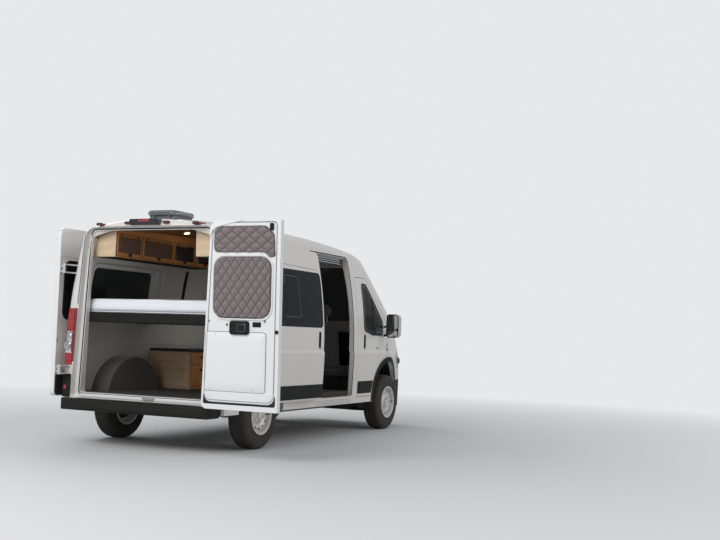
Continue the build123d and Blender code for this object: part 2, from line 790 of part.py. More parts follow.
def tyre():
    """Tyre about the Y axis, centred on the origin."""
    half = TYRE_WIDTH / 2
    face = outline(
        [
            (TYRE_BORE, -half + 22, 4),
            (TYRE_BORE + 20, -half + 18, 0),
            (TYRE_BORE + 60, -half, 50),
            (TYRE_RADIUS - 30, -half + 8, 30),
            (TYRE_RADIUS, -half + 30, 22),
            (TYRE_RADIUS, half - 30, 22),
            (TYRE_RADIUS - 30, half - 8, 30),
            (TYRE_BORE + 60, half, 50),
            (TYRE_BORE + 20, half - 18, 0),
            (TYRE_BORE, half - 22, 4),
        ]
    )
    return revolve(Plane.XY * face, Axis.Y)


def rim():
    """Steel wheel about the Y axis, outer face toward +Y: barrel, dished disc with round vents, hub boss."""
    half = TYRE_WIDTH / 2
    r = TYRE_BORE - SEAT_GAP
    barrel = outline(
        [
            (r, -half + 16, 0),
            (r, half - 16, 0),
            (RIM_LIP_RADIUS, half - 10, 0),
            (RIM_LIP_RADIUS, half + 2, 3),
            (r - 14, half - 2, 4),
            (r - 30, half - 60, 20),
            (r - 30, -half + 50, 20),
            (r - 14, -half + 4, 4),
            (RIM_LIP_RADIUS, -half - 2, 3),
            (RIM_LIP_RADIUS, -half + 10, 0),
        ]
    )
    disc_face = outline(
        [
            (38, half - 44, 4),
            (38, half - 32, 4),
            (82, half - 32, 8),
            (102, half - 50, 12),
            (150, half - 28, 14),
            (r - 26, half - 46, 0),
            (r - 26, half - 58, 0),
            (150, half - 40, 12),
            (104, half - 62, 12),
            (80, half - 44, 8),
        ]
    )
    wheel = revolve(Plane.XY * barrel, Axis.Y) + revolve(Plane.XY * disc_face, Axis.Y)
    for i in range(VENT_HOLES):
        angle = 360 / VENT_HOLES * i
        wheel -= Rot(0, angle, 0) * Pos(152, half - 40, 0) * Rot(90, 0, 0) * Cylinder(17, 80)
    for i in range(5):
        wheel -= Rot(0, 72 * i + 18, 0) * Pos(60, half - 38, 0) * Rot(90, 0, 0) * Cylinder(8, 60)
    return wheel


def hub(side, axle_x, track):
    """Hub drum and brake disc behind a wheel's disc, seated in the wheel."""
    y_wheel = side * track / 2
    face = side * (TYRE_WIDTH / 2 - 44 - SEAT_GAP)
    drum = disc(HUB_RADIUS, axle_x, AXLE_Z, *sorted((y_wheel + face, y_wheel - side * 60)))
    drum += disc(36, axle_x, AXLE_Z, *sorted((y_wheel + face + side * 8, y_wheel)))
    drum += disc(150, axle_x, AXLE_Z, *sorted((y_wheel - side * 18, y_wheel - side * 44)))
    return drum


def knuckle(side):
    """Steering knuckle with its hub, brake disc and kingpin."""
    y_wheel = side * TRACK_FRONT / 2
    body = hub(side, WHEELBASE, TRACK_FRONT)
    y0, y1 = sorted((y_wheel - side * 60, y_wheel - side * 105))
    body += block(WHEELBASE - 45, WHEELBASE + 45, y0, y1, AXLE_Z - 110, AXLE_Z + 120)
    lug = sorted((y_wheel - side * 90, side * (STRUT_HALF - STRUT_RADIUS)))
    body += block(WHEELBASE - 40, WHEELBASE + 40, *lug, AXLE_Z + 70, AXLE_Z + 120)
    return body + Pos(WHEELBASE, side * KINGPIN_HALF, AXLE_Z) * Cylinder(KINGPIN_RADIUS, 200)


def rear_axle():
    """Dead beam axle with its hubs, leaf springs and dampers."""
    axle = rod((0, -TRACK_REAR / 2 + 60, AXLE_Z), (0, TRACK_REAR / 2 - 60, AXLE_Z), 42)
    solids = []
    for side in (-1, 1):
        axle += hub(side, 0, TRACK_REAR)
        y = side * 600
        leaf = outline(
            [
                (-640, 455, 0),
                (-630, LEAF_TOP, 0),
                (0, 330, 900),
                (640, LEAF_TOP, 0),
                (650, 455, 0),
                (0, 295, 900),
            ]
        )
        spring = across(leaf, y - 32, y + 32)
        axle -= spring
        damper = rod((-60, side * 430, AXLE_Z), (-110, side * 430, RAIL_TOP - 20), 22)
        axle -= damper
        solids += [spring.solids()[0], damper.solids()[0]]
    return Compound(children=[axle.solids().sort_by(SortBy.VOLUME)[-1]] + solids)


def underframe():
    """Two chassis rails, stepped down under the cab, and their cross-members."""
    low, front_low = RAIL_TOP - RAIL_DEPTH, FRONT_RAIL_TOP - RAIL_DEPTH
    solids = [block(2900 - 40, 2900 + 40, -RAIL_INNER, RAIL_INNER, front_low, FRONT_RAIL_TOP)]
    for x in (-700, -260, 450, 1250, 2050):
        solids.append(block(x - 40, x + 40, -RAIL_INNER, RAIL_INNER, low + 10, RAIL_TOP))
    for side in (-1, 1):
        y0, y1 = sorted((side * RAIL_INNER, side * RAIL_OUTER))
        frame = block(-860 + 100, CAB_FLOOR_X - 5, y0, y1, low, RAIL_TOP)
        frame += block(RAIL_STEP_X, CAB_FLOOR_X - 5, y0, y1, front_low, RAIL_TOP)
        frame += block(RAIL_STEP_X, WHEELBASE - 260 - SEAT_GAP, y0, y1, front_low, FRONT_RAIL_TOP)
        for x in (-640, 640):
            bracket_y = sorted((side * RAIL_OUTER, side * 640))
            frame += block(x - 30, x + 30, *bracket_y, LEAF_TOP + SEAT_GAP, RAIL_TOP)
        hole = Cylinder(TOW_HOLE_RADIUS, 3 * RAIL_DEPTH)
        for x in TOW_HOLES_X:
            frame -= Pos(x, side * (RAIL_INNER + RAIL_OUTER) / 2, low) * hole
        solids += frame.solids()
    return Compound(children=solids)


def floor_pan():
    """Load floor, and the cab floor with its step and toe board, cut round the wheel housings."""
    inner = INNER & block(REAR_FRAME_X, 4400, -1300, 1300, 300, 2000)
    load = inner & block(REAR_FRAME_X, CAB_FLOOR_X, -1300, 1300, FLOOR_TOP - FLOOR_THICK, FLOOR_TOP)
    low = CAB_FLOOR_TOP - CAB_FLOOR_THICK
    cab = inner & block(CAB_FLOOR_X, TOE_X, -1300, 1300, low, CAB_FLOOR_TOP)
    cab += inner & block(CAB_FLOOR_X, CAB_FLOOR_X + CAB_FLOOR_THICK, -1300, 1300, low, FLOOR_TOP)
    outer_edge = [(TOE_X - 60, low), (TOE_X, low), (3460, 900), (3560, 1230)]
    inner_edge = [(3520, 1240), (3420, 920), (TOE_X - 60, CAB_FLOOR_TOP)]
    toe = outline([(x, z, 0) for x, z in outer_edge + inner_edge])
    cab += across(toe, -FRONT_LINER_HALF, FRONT_LINER_HALF)
    for axle_x, half in ((0, REAR_LINER_HALF), (WHEELBASE, FRONT_LINER_HALF)):
        for side in (-1, 1):
            y0, y1 = sorted((side * (half - SEAT_GAP), side * 1300))
            well = disc(ARCH_RADIUS + LINER + SEAT_GAP, axle_x, ARCH_Z, y0, y1)
            load -= well
            cab -= well
    return Compound(children=load.solids() + cab.solids())


def wheel_housings(axle_x, half, bottom):
    """Half drums over a pair of wheels: an arched wall on each side with its inner end closed."""
    solids = []
    for side in (-1, 1):
        drum = disc(ARCH_RADIUS + LINER, axle_x, ARCH_Z, *sorted((side * half, side * 1300)))
        drum -= disc(ARCH_RADIUS, axle_x, ARCH_Z, *sorted((side * (half + LINER), side * 1300)))
        drum -= block(axle_x - 600, axle_x + 600, -1300, 1300, 0, bottom)
        solids.append((drum & INNER).solids().sort_by(SortBy.VOLUME)[-1])
    return Compound(children=solids)


def front_suspension():
    """Subframe and lower arms under the front knuckles."""
    back, front = WHEELBASE - 260, WHEELBASE + 230
    sub = block(back, back + 90, -545, 545, 250, 330) + block(front - 80, front, -545, 545, 250, 330)
    top = AXLE_Z - 110 - SEAT_GAP
    for side in (-1, 1):
        sub += block(back, front, *sorted((side * 470, side * 545)), 250, 330)
        arm = outline(
            [
                (WHEELBASE - 110, side * 480, 0),
                (WHEELBASE + 110, side * 480, 0),
                (WHEELBASE + 30, side * (KINGPIN_HALF - 20), 20),
                (WHEELBASE - 30, side * (KINGPIN_HALF - 20), 20),
            ]
        )
        sub += upright(arm, top - 26, top)
    return sub


def struts():
    """Front suspension struts with their springs, from the knuckles up to the wheel housings."""
    solids = []
    top = ARCH_Z + ARCH_RADIUS - 5
    for side in (-1, 1):
        x, y = WHEELBASE, side * STRUT_HALF
        leg = rod((x, y, AXLE_Z + 120 + SEAT_GAP), (x, y, top), STRUT_RADIUS)
        leg += rod((x, y, 765), (x, y, top - 20), 50)
        solids.append(leg.solids()[0])
    return Compound(children=solids)


def engine():
    """Engine and gearbox as one plain block."""
    block_shape = block(3640, 4080, -420, 380, 330, 960)
    return fillet(block_shape.edges(), 25)


def exhaust():
    """Exhaust pipe with its silencer."""
    y, z = -250, EXHAUST_Z
    pipe = rod((3000, y, z), (1600, y, z), EXHAUST_RADIUS)
    box = Pos(1250, y, z + 20) * Rot(0, 90, 0) * Cylinder(92, 700)
    tail = rod((900, y, z), (420, y, z), EXHAUST_RADIUS)
    return pipe + box + tail


def fuel_tank():
    """Fuel tank slung beside the left chassis rail."""
    tank = block(1300, 2150, RAIL_OUTER + SEAT_GAP, 860, 270, FLOOR_TOP - FLOOR_THICK - SEAT_GAP)
    return fillet(tank.edges(), 40)


# Cab and living space


def wall_lining():
    """Thin lining of the load space walls and ceiling."""
    layer = INNER - LINED
    lining = layer & block(REAR_FRAME_X, CAB_X - 90, -1300, 1300, FLOOR_TOP, 2700)
    for side in (-1, 1):
        lining -= side_prism(side_window_face(WINDOW_RIM - 20), side)
        lining -= arch_prism(0, side, ARCH_RADIUS + LINER + 1)
    lining -= side_prism(slide_face(40), -1)
    return lining


def bed_frame():
    """Platform across the rear of the load space."""
    slab = LINED & block(BED_REAR_X, BED_FRONT_X, -1300, 1300, BED_TOP - BED_FRAME, BED_TOP)
    for x in (BED_REAR_X + 420, BED_FRONT_X - 420):
        slab -= block(x - 180, x + 180, -780, 780, BED_TOP - BED_FRAME, BED_TOP - 20)
    return slab


def mattress():
    """Mattress on the platform."""
    half = 905
    pad = block(BED_REAR_X + 12, BED_FRONT_X - 12, -half, half, BED_TOP + SEAT_GAP, BED_TOP + MATTRESS)
    return fillet(pad.edges(), 28)


def overhead_cabinets():
    """Wall cabinets under the ceiling on both sides."""
    solids = []
    for side, x1 in ((1, 1300), (-1, 900)):
        face_low, face_high = side * CABINET_FACE_HALF, side * (CABINET_FACE_HALF - 10)
        front = outline(
            [
                (face_low, CABINET_BOTTOM, 0),
                (side * 1200, CABINET_BOTTOM, 0),
                (side * 1200, 2500, 0),
                (face_high, 2500, 0),
            ]
        )
        body = LINED & along(front, -700, x1)
        inside = outline(
            [
                (side * (CABINET_FACE_HALF + 18), CABINET_BOTTOM + 15, 0),
                (side * 780, CABINET_BOTTOM + 15, 0),
                (side * 780, 2300, 0),
                (side * (CABINET_FACE_HALF + 18), 2300, 0),
            ]
        )
        solids.append((body - along(inside, -684, x1 - 16)).solids()[0])
    return Compound(children=solids)


def galley_cabinet():
    """Kitchen cabinet along the left wall with its worktop."""
    body = LINED & block(GALLEY_REAR_X, GALLEY_FRONT_X, GALLEY_FACE_Y, 1300, FLOOR_TOP, 1010)
    return body


def worktop():
    """Dark worktop on the kitchen cabinet."""
    return LINED & block(GALLEY_REAR_X - 25, GALLEY_FRONT_X + 20, GALLEY_FACE_Y - 25, 1300, 1010, 1040)


def cab_seat(side):
    """One cab seat: base, cushion, backrest and headrest."""
    y = side * 480
    base = block(2520, 2900, y - 210, y + 210, CAB_FLOOR_TOP, 720)
    cushion = fillet((Pos(2740, y, 790) * Box(500, 480, 140)).edges(), 45)
    back = outline([(2440, 800, 30), (2580, 800, 30), (2470, 1480, 50), (2340, 1480, 40)])
    back = Pos(60, 0, 0) * fillet(across(back, y - 230, y + 230).edges(), 25)
    head = fillet((Pos(2452, y, 1590) * Box(100, 260, 190)).edges(), 35)
    post = rod((2460, y, 1450), (2450, y, 1560), 20)
    return base + cushion + back + post + head


def dashboard():
    """Dashboard with its deep shelf, centre stack and steering column."""
    face = outline(
        [
            (3130, 980, 40),
            (3230, 900, 30),
            (3430, 960, 0),
            (3560, 1230, 0),
            (3600, 1330, 30),
            (3250, 1290, 60),
            (3130, 1200, 50),
        ]
    )
    dash = across(face, -900, 900)
    dash += fillet(block(3090, 3300, -190, 190, 720, 1210).edges(), 30)
    column = Pos(0, 0, -110 - SEAT_GAP) * Cylinder(30, 180)
    column = Pos(*STEERING_CENTRE) * Rot(0, -STEERING_TILT, 0) * column
    return (dash & envelope(WALL + 40)) + column


def steering_wheel():
    """Steering wheel, its hub and spokes."""
    ring = Torus(190, 15)
    wheel = ring + Cylinder(48, 40)
    for angle in (0, 120, 240):
        wheel += Rot(0, 0, angle) * Pos(95, 0, 0) * Box(190, 30, 14)
    return wheel


# Roof fan


def fan_base():
    """Square frame of the roof fan, cut to the roof's curve, with the two ears that carry the lid."""
    half, top = FAN_BASE_HALF, FAN_LID_Z - SEAT_GAP
    frame = block(FAN_X - half, FAN_X + half, -half, half, 2400, top)
    frame -= block(FAN_X - half + 30, FAN_X + half - 30, 30 - half, half - 30, 2300, 2700)
    for side in (-1, 1):
        y0, y1 = sorted((side * FAN_EARS[0], side * FAN_EARS[1]))
        frame += disc(FAN_LID_HOLLOW - SEAT_GAP, FAN_HINGE_X, FAN_LID_Z, y0, y1)
    return frame - HULL


def fan_lid():
    """Domed lid of the roof fan, slightly raised."""
    lid = Pos(FAN_X, 0, FAN_LID_Z + 25) * Box(FAN_LID_LENGTH, FAN_LID_WIDTH, 50)
    lid = fillet(lid.edges().filter_by(Axis.Z), 60)
    lid = chamfer(lid.faces().sort_by(Axis.Z)[-1].edges(), 14)
    x, y = FAN_LID_LENGTH / 2 - FAN_LID_WALL, FAN_LID_WIDTH / 2 - FAN_LID_WALL
    return lid - block(FAN_X - x, FAN_X + x, -y, y, FAN_LID_Z - 1, FAN_LID_Z + FAN_LID_HOLLOW)


def cladding():
    """Raised black strips along the lower sides, and the trims of the front arches."""
    skin = envelope(-CLADDING) - HULL
    strips = []
    band = block(-700, CAB_X - 4, -1300, 1300, STRIP_BOTTOM, STRIP_TOP)
    for side in (-1, 1):
        half = block(-2000, 5000, *sorted((0, side * 1300)), 0, 3000)
        strip = skin & band & half
        strip -= disc(ARCH_RADIUS + 12, 0, ARCH_Z, -1300, 1300)
        if side < 0:
            on_door = strip & block(SLIDE_REAR_X + 6, SLIDE_FRONT_X - 6, -1300, 0, 0, 3000)
            strips += (Pos(-SLIDE_TRAVEL, -SLIDE_OUT, 0) * on_door).solids()
            strip -= block(SLIDE_REAR_X - 12, CAB_X, -1300, 0, 0, 3000)
        strips += strip.solids()
        y0, y1 = sorted((side * 700, side * 1300))
        trim = disc(ARCH_RADIUS + ARCH_TRIM, WHEELBASE, ARCH_Z, y0, y1)
        trim -= disc(ARCH_RADIUS, WHEELBASE, ARCH_Z, y0, y1)
        trim = skin & trim & block(WHEELBASE - 900, BUMPER_REAR_X + 60, -1300, 1300, SILL_Z + 4, 2000)
        strips += trim.solids()
    return Compound(children=strips)


def open_rear_door(shape, side):
    """Rear door piece swung from its closed place to where it stands open."""
    angle = -LEFT_DOOR_OPEN if side > 0 else RIGHT_DOOR_OPEN
    return turned(shape, REAR_HINGE_X, side * REAR_HINGE_HALF, angle)


def build():
    """All pieces by node name, in the vehicle frame."""
    nodes = {}
    glass = []
    for side, name in ((1, "left"), (-1, "right")):
        nodes[f"side_panel_{name}"], pane = side_panel(side)
        glass += pane.solids()
        door, pane = rear_door(side)
        for z in REAR_HINGE_HEIGHTS:
            door += hinge_strap(side, z)
        nodes[f"rear_door_{name}"] = open_rear_door(door, side)
        nodes[f"rear_glass_{name}"] = open_rear_door(pane, side)
        nodes[f"rear_pads_{name}"] = open_rear_door(rear_pads(side), side)
        door, pane = cab_door(side)
        nodes[f"cab_door_{name}"] = door
        nodes[f"cab_glass_{name}"] = pane
        nodes[f"mirror_{name}"] = mirror_unit(side)
        nodes[f"knuckle_{name}"] = knuckle(side)
    nodes["sliding_door"], pane = sliding_door()
    glass += pane.solids()
    nodes["roof_panel"] = roof_panel()
    frame = rear_frame()
    for side in (-1, 1):
        for z in REAR_HINGE_HEIGHTS:
            frame += hinge_bracket(side, z)
    nodes["rear_frame"] = frame
    cab, screen = cab_front()
    glass += screen.solids()
    for side, name in ((1, "left"), (-1, "right")):
        for z in CAB_HINGE_HEIGHTS:
            door_half, body_half = cab_hinge(side, z)
            nodes[f"cab_door_{name}"] += door_half
            cab += body_half
    nodes["cab_front"] = cab
    nodes["body_glass"] = Compound(children=glass)
    nodes["front_bumper"] = front_bumper()
    nodes["grille"] = grille()
    nodes["headlamps"] = headlamps()
    nodes["rear_lamps"] = Compound(children=tail_lamps().solids() + header_lamps().solids())
    nodes["rear_bumper"] = rear_bumper()
    nodes["cladding"] = cladding()
    nodes["bonnet"] = bonnet()
    nodes["slide_track"] = slide_track()
    floor = floor_pan()
    nodes["floor_pan"] = floor
    nodes["housings_rear"] = wheel_housings(0, REAR_LINER_HALF, 430)
    nodes["housings_front"] = wheel_housings(WHEELBASE, FRONT_LINER_HALF, 700)
    nodes["underframe"] = underframe()
    nodes["front_suspension"] = Compound(children=front_suspension().solids() + struts().solids())
    nodes["rear_axle"] = rear_axle()
    nodes["engine_block"] = engine()
    nodes["exhaust"] = exhaust()
    nodes["fuel_tank"] = fuel_tank()
    for axle, x, track in (("front", WHEELBASE, TRACK_FRONT), ("rear", 0, TRACK_REAR)):
        for side, name in ((1, "left"), (-1, "right")):
            place = Pos(x, side * track / 2, AXLE_Z) * Rot(0, 0, 0 if side > 0 else 180)
            nodes[f"tyre_{axle}_{name}"] = place * tyre()
            nodes[f"rim_{axle}_{name}"] = place * rim()
    nodes["interior_lining"] = wall_lining()
    nodes["bed_frame"] = bed_frame()
    nodes["mattress"] = mattress()
    nodes["overhead_cabinets"] = overhead_cabinets()
    nodes["galley_cabinet"] = galley_cabinet()
    nodes["worktop"] = worktop()
    nodes["cab_seats"] = Compound(children=cab_seat(1).solids() + cab_seat(-1).solids())
    nodes["dashboard"] = dashboard() - floor
    tilt = Pos(*STEERING_CENTRE) * Rot(0, -STEERING_TILT, 0)
    nodes["steering_wheel"] = tilt * steering_wheel()
    nodes["fan_base"] = fan_base()
    nodes["fan_lid"] = fan_lid()
    return nodes


def origin_of(nodes):
    """Middle of the whole van's footprint, doors open."""
    boxes = [piece.bounding_box() for piece in nodes.values()]
    x0, x1 = min(box.min.X for box in boxes), max(box.max.X for box in boxes)
    y0, y1 = min(box.min.Y for box in boxes), max(box.max.Y for box in boxes)
    return (x0 + x1) / 2, (y0 + y1) / 2


if __name__ == "__main__":
    os.makedirs("parts", exist_ok=True)
    pieces = build()
    origin_x, origin_y = origin_of(pieces)
    print("origin", round(origin_x, 3), round(origin_y, 3))
    for name, piece in pieces.items():
        export_step(Pos(-origin_x, -origin_y, 0) * piece, f"parts/{name}.step")
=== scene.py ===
"""Looks of the camper van: finishes, quilts, bedding, seals, lamps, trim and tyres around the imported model.

Places are in metres in the van's own frame, x forward from the rear axle, y to the left, z up.
at(x, y, z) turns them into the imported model's frame, whose origin is the middle of the footprint.
"""

import math

import bmesh
import bpy
from mathutils import Matrix, Vector, noise
from mathutils.bvhtree import BVHTree


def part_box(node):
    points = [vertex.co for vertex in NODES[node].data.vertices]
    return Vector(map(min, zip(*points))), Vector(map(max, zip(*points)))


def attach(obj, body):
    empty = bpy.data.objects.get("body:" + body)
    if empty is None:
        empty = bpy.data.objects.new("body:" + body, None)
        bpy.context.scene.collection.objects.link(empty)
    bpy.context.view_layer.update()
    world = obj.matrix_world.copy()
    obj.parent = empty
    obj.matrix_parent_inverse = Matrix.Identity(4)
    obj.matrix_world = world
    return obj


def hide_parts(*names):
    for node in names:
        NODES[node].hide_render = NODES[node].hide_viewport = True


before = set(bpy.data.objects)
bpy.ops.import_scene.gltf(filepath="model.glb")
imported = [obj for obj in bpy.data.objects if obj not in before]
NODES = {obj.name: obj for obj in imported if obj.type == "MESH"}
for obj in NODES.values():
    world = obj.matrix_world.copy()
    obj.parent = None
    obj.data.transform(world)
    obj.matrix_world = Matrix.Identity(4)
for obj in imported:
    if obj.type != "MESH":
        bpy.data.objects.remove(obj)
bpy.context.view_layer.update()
SIDES = ((1, "left"), (-1, "right"))

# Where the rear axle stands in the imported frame
REAR_TYRES = [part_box(f"tyre_rear_{tag}") for _, tag in SIDES]
AXLE = sum((low + high for low, high in REAR_TYRES), Vector()) / 4

# Closed rear doors: outer face at ground height, thickness, lean for each metre of height, hinge pins
TAIL_X = -0.935
WALL = 0.055
DOOR_LEAN = 0.075 / 2.4
HINGE_X = -1.04
HINGE_Y = 0.94

# Camera found from the photograph: place, angles in degrees, focal length in photo pixels, width of its
# sensor, and how far it sees
CAMERA_PLACE = (-10.14, -6.85, 1.27)
CAMERA_YAW = 24.95
CAMERA_PITCH = 3.57
CAMERA_ROLL = 1.94
FOCAL_PIXELS = 1058.7
PHOTO_WIDTH = 720
SENSOR_WIDTH = 36
VIEW_REACH = 500

# Lights: name, place, target, size, power, colour
LIGHTS = (
    ("key", (-8.5, 0.5, 7.0), (0, 0, 1.2), 5.0, 480, (1.0, 0.985, 0.96)),
    ("low", (-8.0, -1.5, 1.9), (0, 0, 1.4), 2.5, 30, (1.0, 0.97, 0.93)),
    ("side", (3.5, -9.0, 5.0), (1.5, 0, 1.0), 5.0, 150, (1.0, 0.97, 0.94)),
    ("back", (6.0, 7.0, 6.5), (1.0, 0, 1.2), 5.0, 200, (1, 1, 1)),
)
SKY_LIGHT = (0.52, 0.53, 0.55, 1)

# Colour behind the van, the floor's half width, and the distances over which it fades into that colour
BACKGROUND = (0.80, 0.81, 0.82, 1)
FLOOR_REACH = 60
FLOOR_FADE = (3.5, 11.0)

# Quilting: height of a puff, cell of its mesh, width of its rounded rim, width of the painted shade along a
# stitching line
PUFF = 0.021
QUILT_CELL = 0.0062
QUILT_RIM = 0.022
STITCH_SHADE = 0.16

# Cloth simulation of the stuffed pieces, height of the sheet's lower edge, and the seats' place to the side
PUFF_PRESSURE = 4
PUFF_FRAMES = 20
SHEET_EDGE = 1.45
SEAT_Y = 0.48

# Sockets of a colour mix node
MIX_A, MIX_B, MIX_RESULT = 6, 7, 2

# Looks at a skin: axis, way of the look, and where it starts
FROM_BEHIND = (0, 1, -1.3)
FROM_AHEAD = (0, -1, 5.0)
FROM_RIGHT = (1, 1, -1.4)
FROM_LEFT = (1, -1, 1.4)
FROM_WITHIN = (1, 1, 0.0)
FROM_BELOW = (2, 1, 1.6)

# Screws of the rear doors: turned shape, places on the white panel, and places beside it
DOME = [(0.007, -0.001), (0.007, 0.001), (0.005, 0.003), (0.002, 0.004)]
SCREWS = ((0.719, 1.245), (0.331, 1.257), (0.758, 0.705), (0.274, 0.71))
PLUGGED_SCREWS = ((0.801, 1.370), (0.59, 1.339), (0.163, 1.379), (0.25, 0.625))

# Half of a tyre's outline: radius and distance from its middle
TYRE_STEPS = 180
TYRE_PROFILE = [
    (0.205, -0.0905), (0.212, -0.0960), (0.228, -0.1010), (0.245, -0.1085), (0.268, -0.1122),
    (0.290, -0.1118), (0.312, -0.1090), (0.318, -0.1102), (0.330, -0.1078), (0.343, -0.1030),
    (0.356, -0.0960), (0.3655, -0.0860), (0.3695, -0.0740), (0.3705, -0.0620), (0.3625, -0.0600),
    (0.3625, -0.0540), (0.3712, -0.0520), (0.3718, -0.0260), (0.3630, -0.0240), (0.3630, -0.0170),
    (0.3720, -0.0150),
]

# Steps of an arc at the corner of an outline
ARC_STEPS = 5


def at(x, y, z):
    """Point of the van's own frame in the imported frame."""
    return Vector((AXLE.x + x, AXLE.y + y, z))


# Materials


class Finish:
    """A Principled material built up node by node.

    A pattern is the name of a method of this class and what it is given.
    """

    def __init__(self, name, color, roughness, **sockets):
        self.mat = bpy.data.materials.new(name)
        self.mat.use_nodes = True
        self.tree = self.mat.node_tree
        self.shader = self.tree.nodes["Principled BSDF"]
        self.color = (*color, 1)
        self.shader.inputs["Base Color"].default_value = self.color
        self.shader.inputs["Roughness"].default_value = roughness
        for key, value in sockets.items():
            self.shader.inputs[key.replace("_", " ")].default_value = value
        self.place = self.node("ShaderNodeTexCoord").outputs["Object"]

    def fill(self, socket, value):
        """Links a socket to another, or sets its value."""
        if isinstance(value, bpy.types.NodeSocket):
            self.tree.links.new(value, socket)
        else:
            socket.default_value = value

    def node(self, kind, **inputs):
        made = self.tree.nodes.new(kind)
        for key, value in inputs.items():
            self.fill(made.inputs[key], value)
        return made

    def stretched(self, scale):
        """Object coordinates, stretched."""
        return self.node("ShaderNodeMapping", Vector=self.place, Scale=scale).outputs["Vector"]

    def noise(self, scale, detail=3.0, stretch=(1, 1, 1)):
        made = self.node("ShaderNodeTexNoise", Vector=self.stretched(stretch), Scale=scale, Detail=detail)
        made.inputs["Roughness"].default_value = 0.55
        return made.outputs["Fac"]

    def blotches(self, scale, detail, low, high):
        """Noise with its contrast raised."""
        return self.ramp(self.noise(scale, detail), low, high)

    def cells(self, scale):
        made = self.node("ShaderNodeTexVoronoi", Vector=self.stretched((1, 1, 1)), Scale=scale)
        return made.outputs["Distance"]

    def waves(self, scale, direction="X", distort=0.0, detail=2.0, stretch=(1, 1, 1)):
        place = self.stretched(stretch)
        made = self.node("ShaderNodeTexWave", Vector=place, Scale=scale, Distortion=distort)
        made.bands_direction = direction
        made.inputs["Detail"].default_value = detail
        return made.outputs["Fac"]

    def ramp(self, factor, low, high):
        made = self.node("ShaderNodeMapRange", Value=factor)
        made.inputs["From Min"].default_value = low
        made.inputs["From Max"].default_value = high
        return made.outputs["Result"]

    def height(self, low, high):
        """Goes from 0 at one height above the ground to 1 at another."""
        z = self.node("ShaderNodeSeparateXYZ", Vector=self.place).outputs["Z"]
        return self.ramp(z, low, high)

    def painted(self, layer):
        """Factor kept in a colour layer of the mesh."""
        made = self.node("ShaderNodeVertexColor")
        made.layer_name = layer
        return made.outputs["Color"]

    def field(self, pattern):
        """Socket that a pattern comes out of."""
        return getattr(self, pattern[0])(*pattern[1:])

    def times(self, a, b):
        made = self.node("ShaderNodeMath")
        made.operation = "MULTIPLY"
        for socket, value in zip(made.inputs, (a, b)):
            self.fill(socket, value)
        return made.outputs[0]

    def tint(self, other, pattern, *factors):
        """Mixes another colour in by a pattern, times more patterns or numbers."""
        share = self.field(pattern)
        for factor in factors:
            share = self.times(share, self.field(factor) if isinstance(factor, tuple) else factor)
        mix = self.tree.nodes.new("ShaderNodeMix")
        mix.data_type = "RGBA"
        base = self.shader.inputs["Base Color"]
        self.fill(mix.inputs[MIX_A], base.links[0].from_socket if base.links else self.color)
        mix.inputs[MIX_B].default_value = (*other, 1)
        self.fill(mix.inputs[0], share)
        self.fill(base, mix.outputs[MIX_RESULT])
        return self

    def gloss(self, pattern, low, high):
        """Spreads the roughness between two values by a pattern."""
        made = self.node("ShaderNodeMapRange", Value=self.field(pattern))
        made.inputs["To Min"].default_value = low
        made.inputs["To Max"].default_value = high
        self.fill(self.shader.inputs["Roughness"], made.outputs["Result"])
        return self

    def bump(self, pattern, distance, strength=1.0):
        normal = self.shader.inputs["Normal"]
        old = normal.links[0].from_socket if normal.links else None
        made = self.node("ShaderNodeBump", Height=self.field(pattern), Distance=distance, Strength=strength)
        if old:
            self.fill(made.inputs["Normal"], old)
        self.fill(normal, made.outputs["Normal"])
        return self

    def soften(self, radius):
        """Rounded look on sharp edges."""
        made = self.node("ShaderNodeBevel", Radius=radius)
        made.samples = 4
        self.fill(self.shader.inputs["Normal"], made.outputs["Normal"])
        return self


def window_glass(name, color, alpha):
    f = Finish(name, color, 0.04, Alpha=alpha, IOR=1.5, Specular_IOR_Level=0.09)
    return f.gloss(("noise", 6, 3), 0.02, 0.08).mat


def lens(name, color, alpha=1.0):
    f = Finish(name, color, 0.12, Alpha=alpha, Coat_Weight=0.8, Coat_Roughness=0.03)
    f.bump(("waves", 55, "Y"), 0.0012, 0.5)
    f.bump(("waves", 40, "Z"), 0.0012, 0.4)
    return f.gloss(("noise", 15, 3), 0.08, 0.18).mat


def timber(name, dark, light, grain):
    f = Finish(name, dark, 0.42, Coat_Weight=0.12)
    f.tint(light, ("waves", 3.2, "Z", 5.0, 3.0, grain))
    f.tint(tuple(c * 0.55 for c in dark), ("noise", 90, 4, grain), 0.35)
    f.bump(("noise", 150, 4, grain), 0.0002, 0.5)
    return f.gloss(("noise", 30, 3), 0.34, 0.54).mat


def woven(name, color, weave, rough, sheen):
    """Cloth with a fine weave."""
    f = Finish(name, color, rough, Sheen_Weight=sheen, Sheen_Roughness=0.5)
    f.bump(("waves", weave, "X", 0.4), 0.0002, 0.5)
    return f.bump(("waves", weave, "Z", 0.4), 0.0002, 0.5)


def cloth(name, color, other, weave, rough, sheen):
    f = woven(name, color, weave, rough, sheen)
    return f.tint(other, ("noise", 40, 5), 0.5).tint(other, ("noise", 3.5, 4), 0.35).mat


def plain(name, color, rough, **sockets):
    f = Finish(name, color, rough, **sockets)
    f.tint(tuple(0.75 * c for c in color), ("noise", 7, 4), 0.3)
    return f.bump(("noise", 350, 3), 0.0001, 0.4).mat


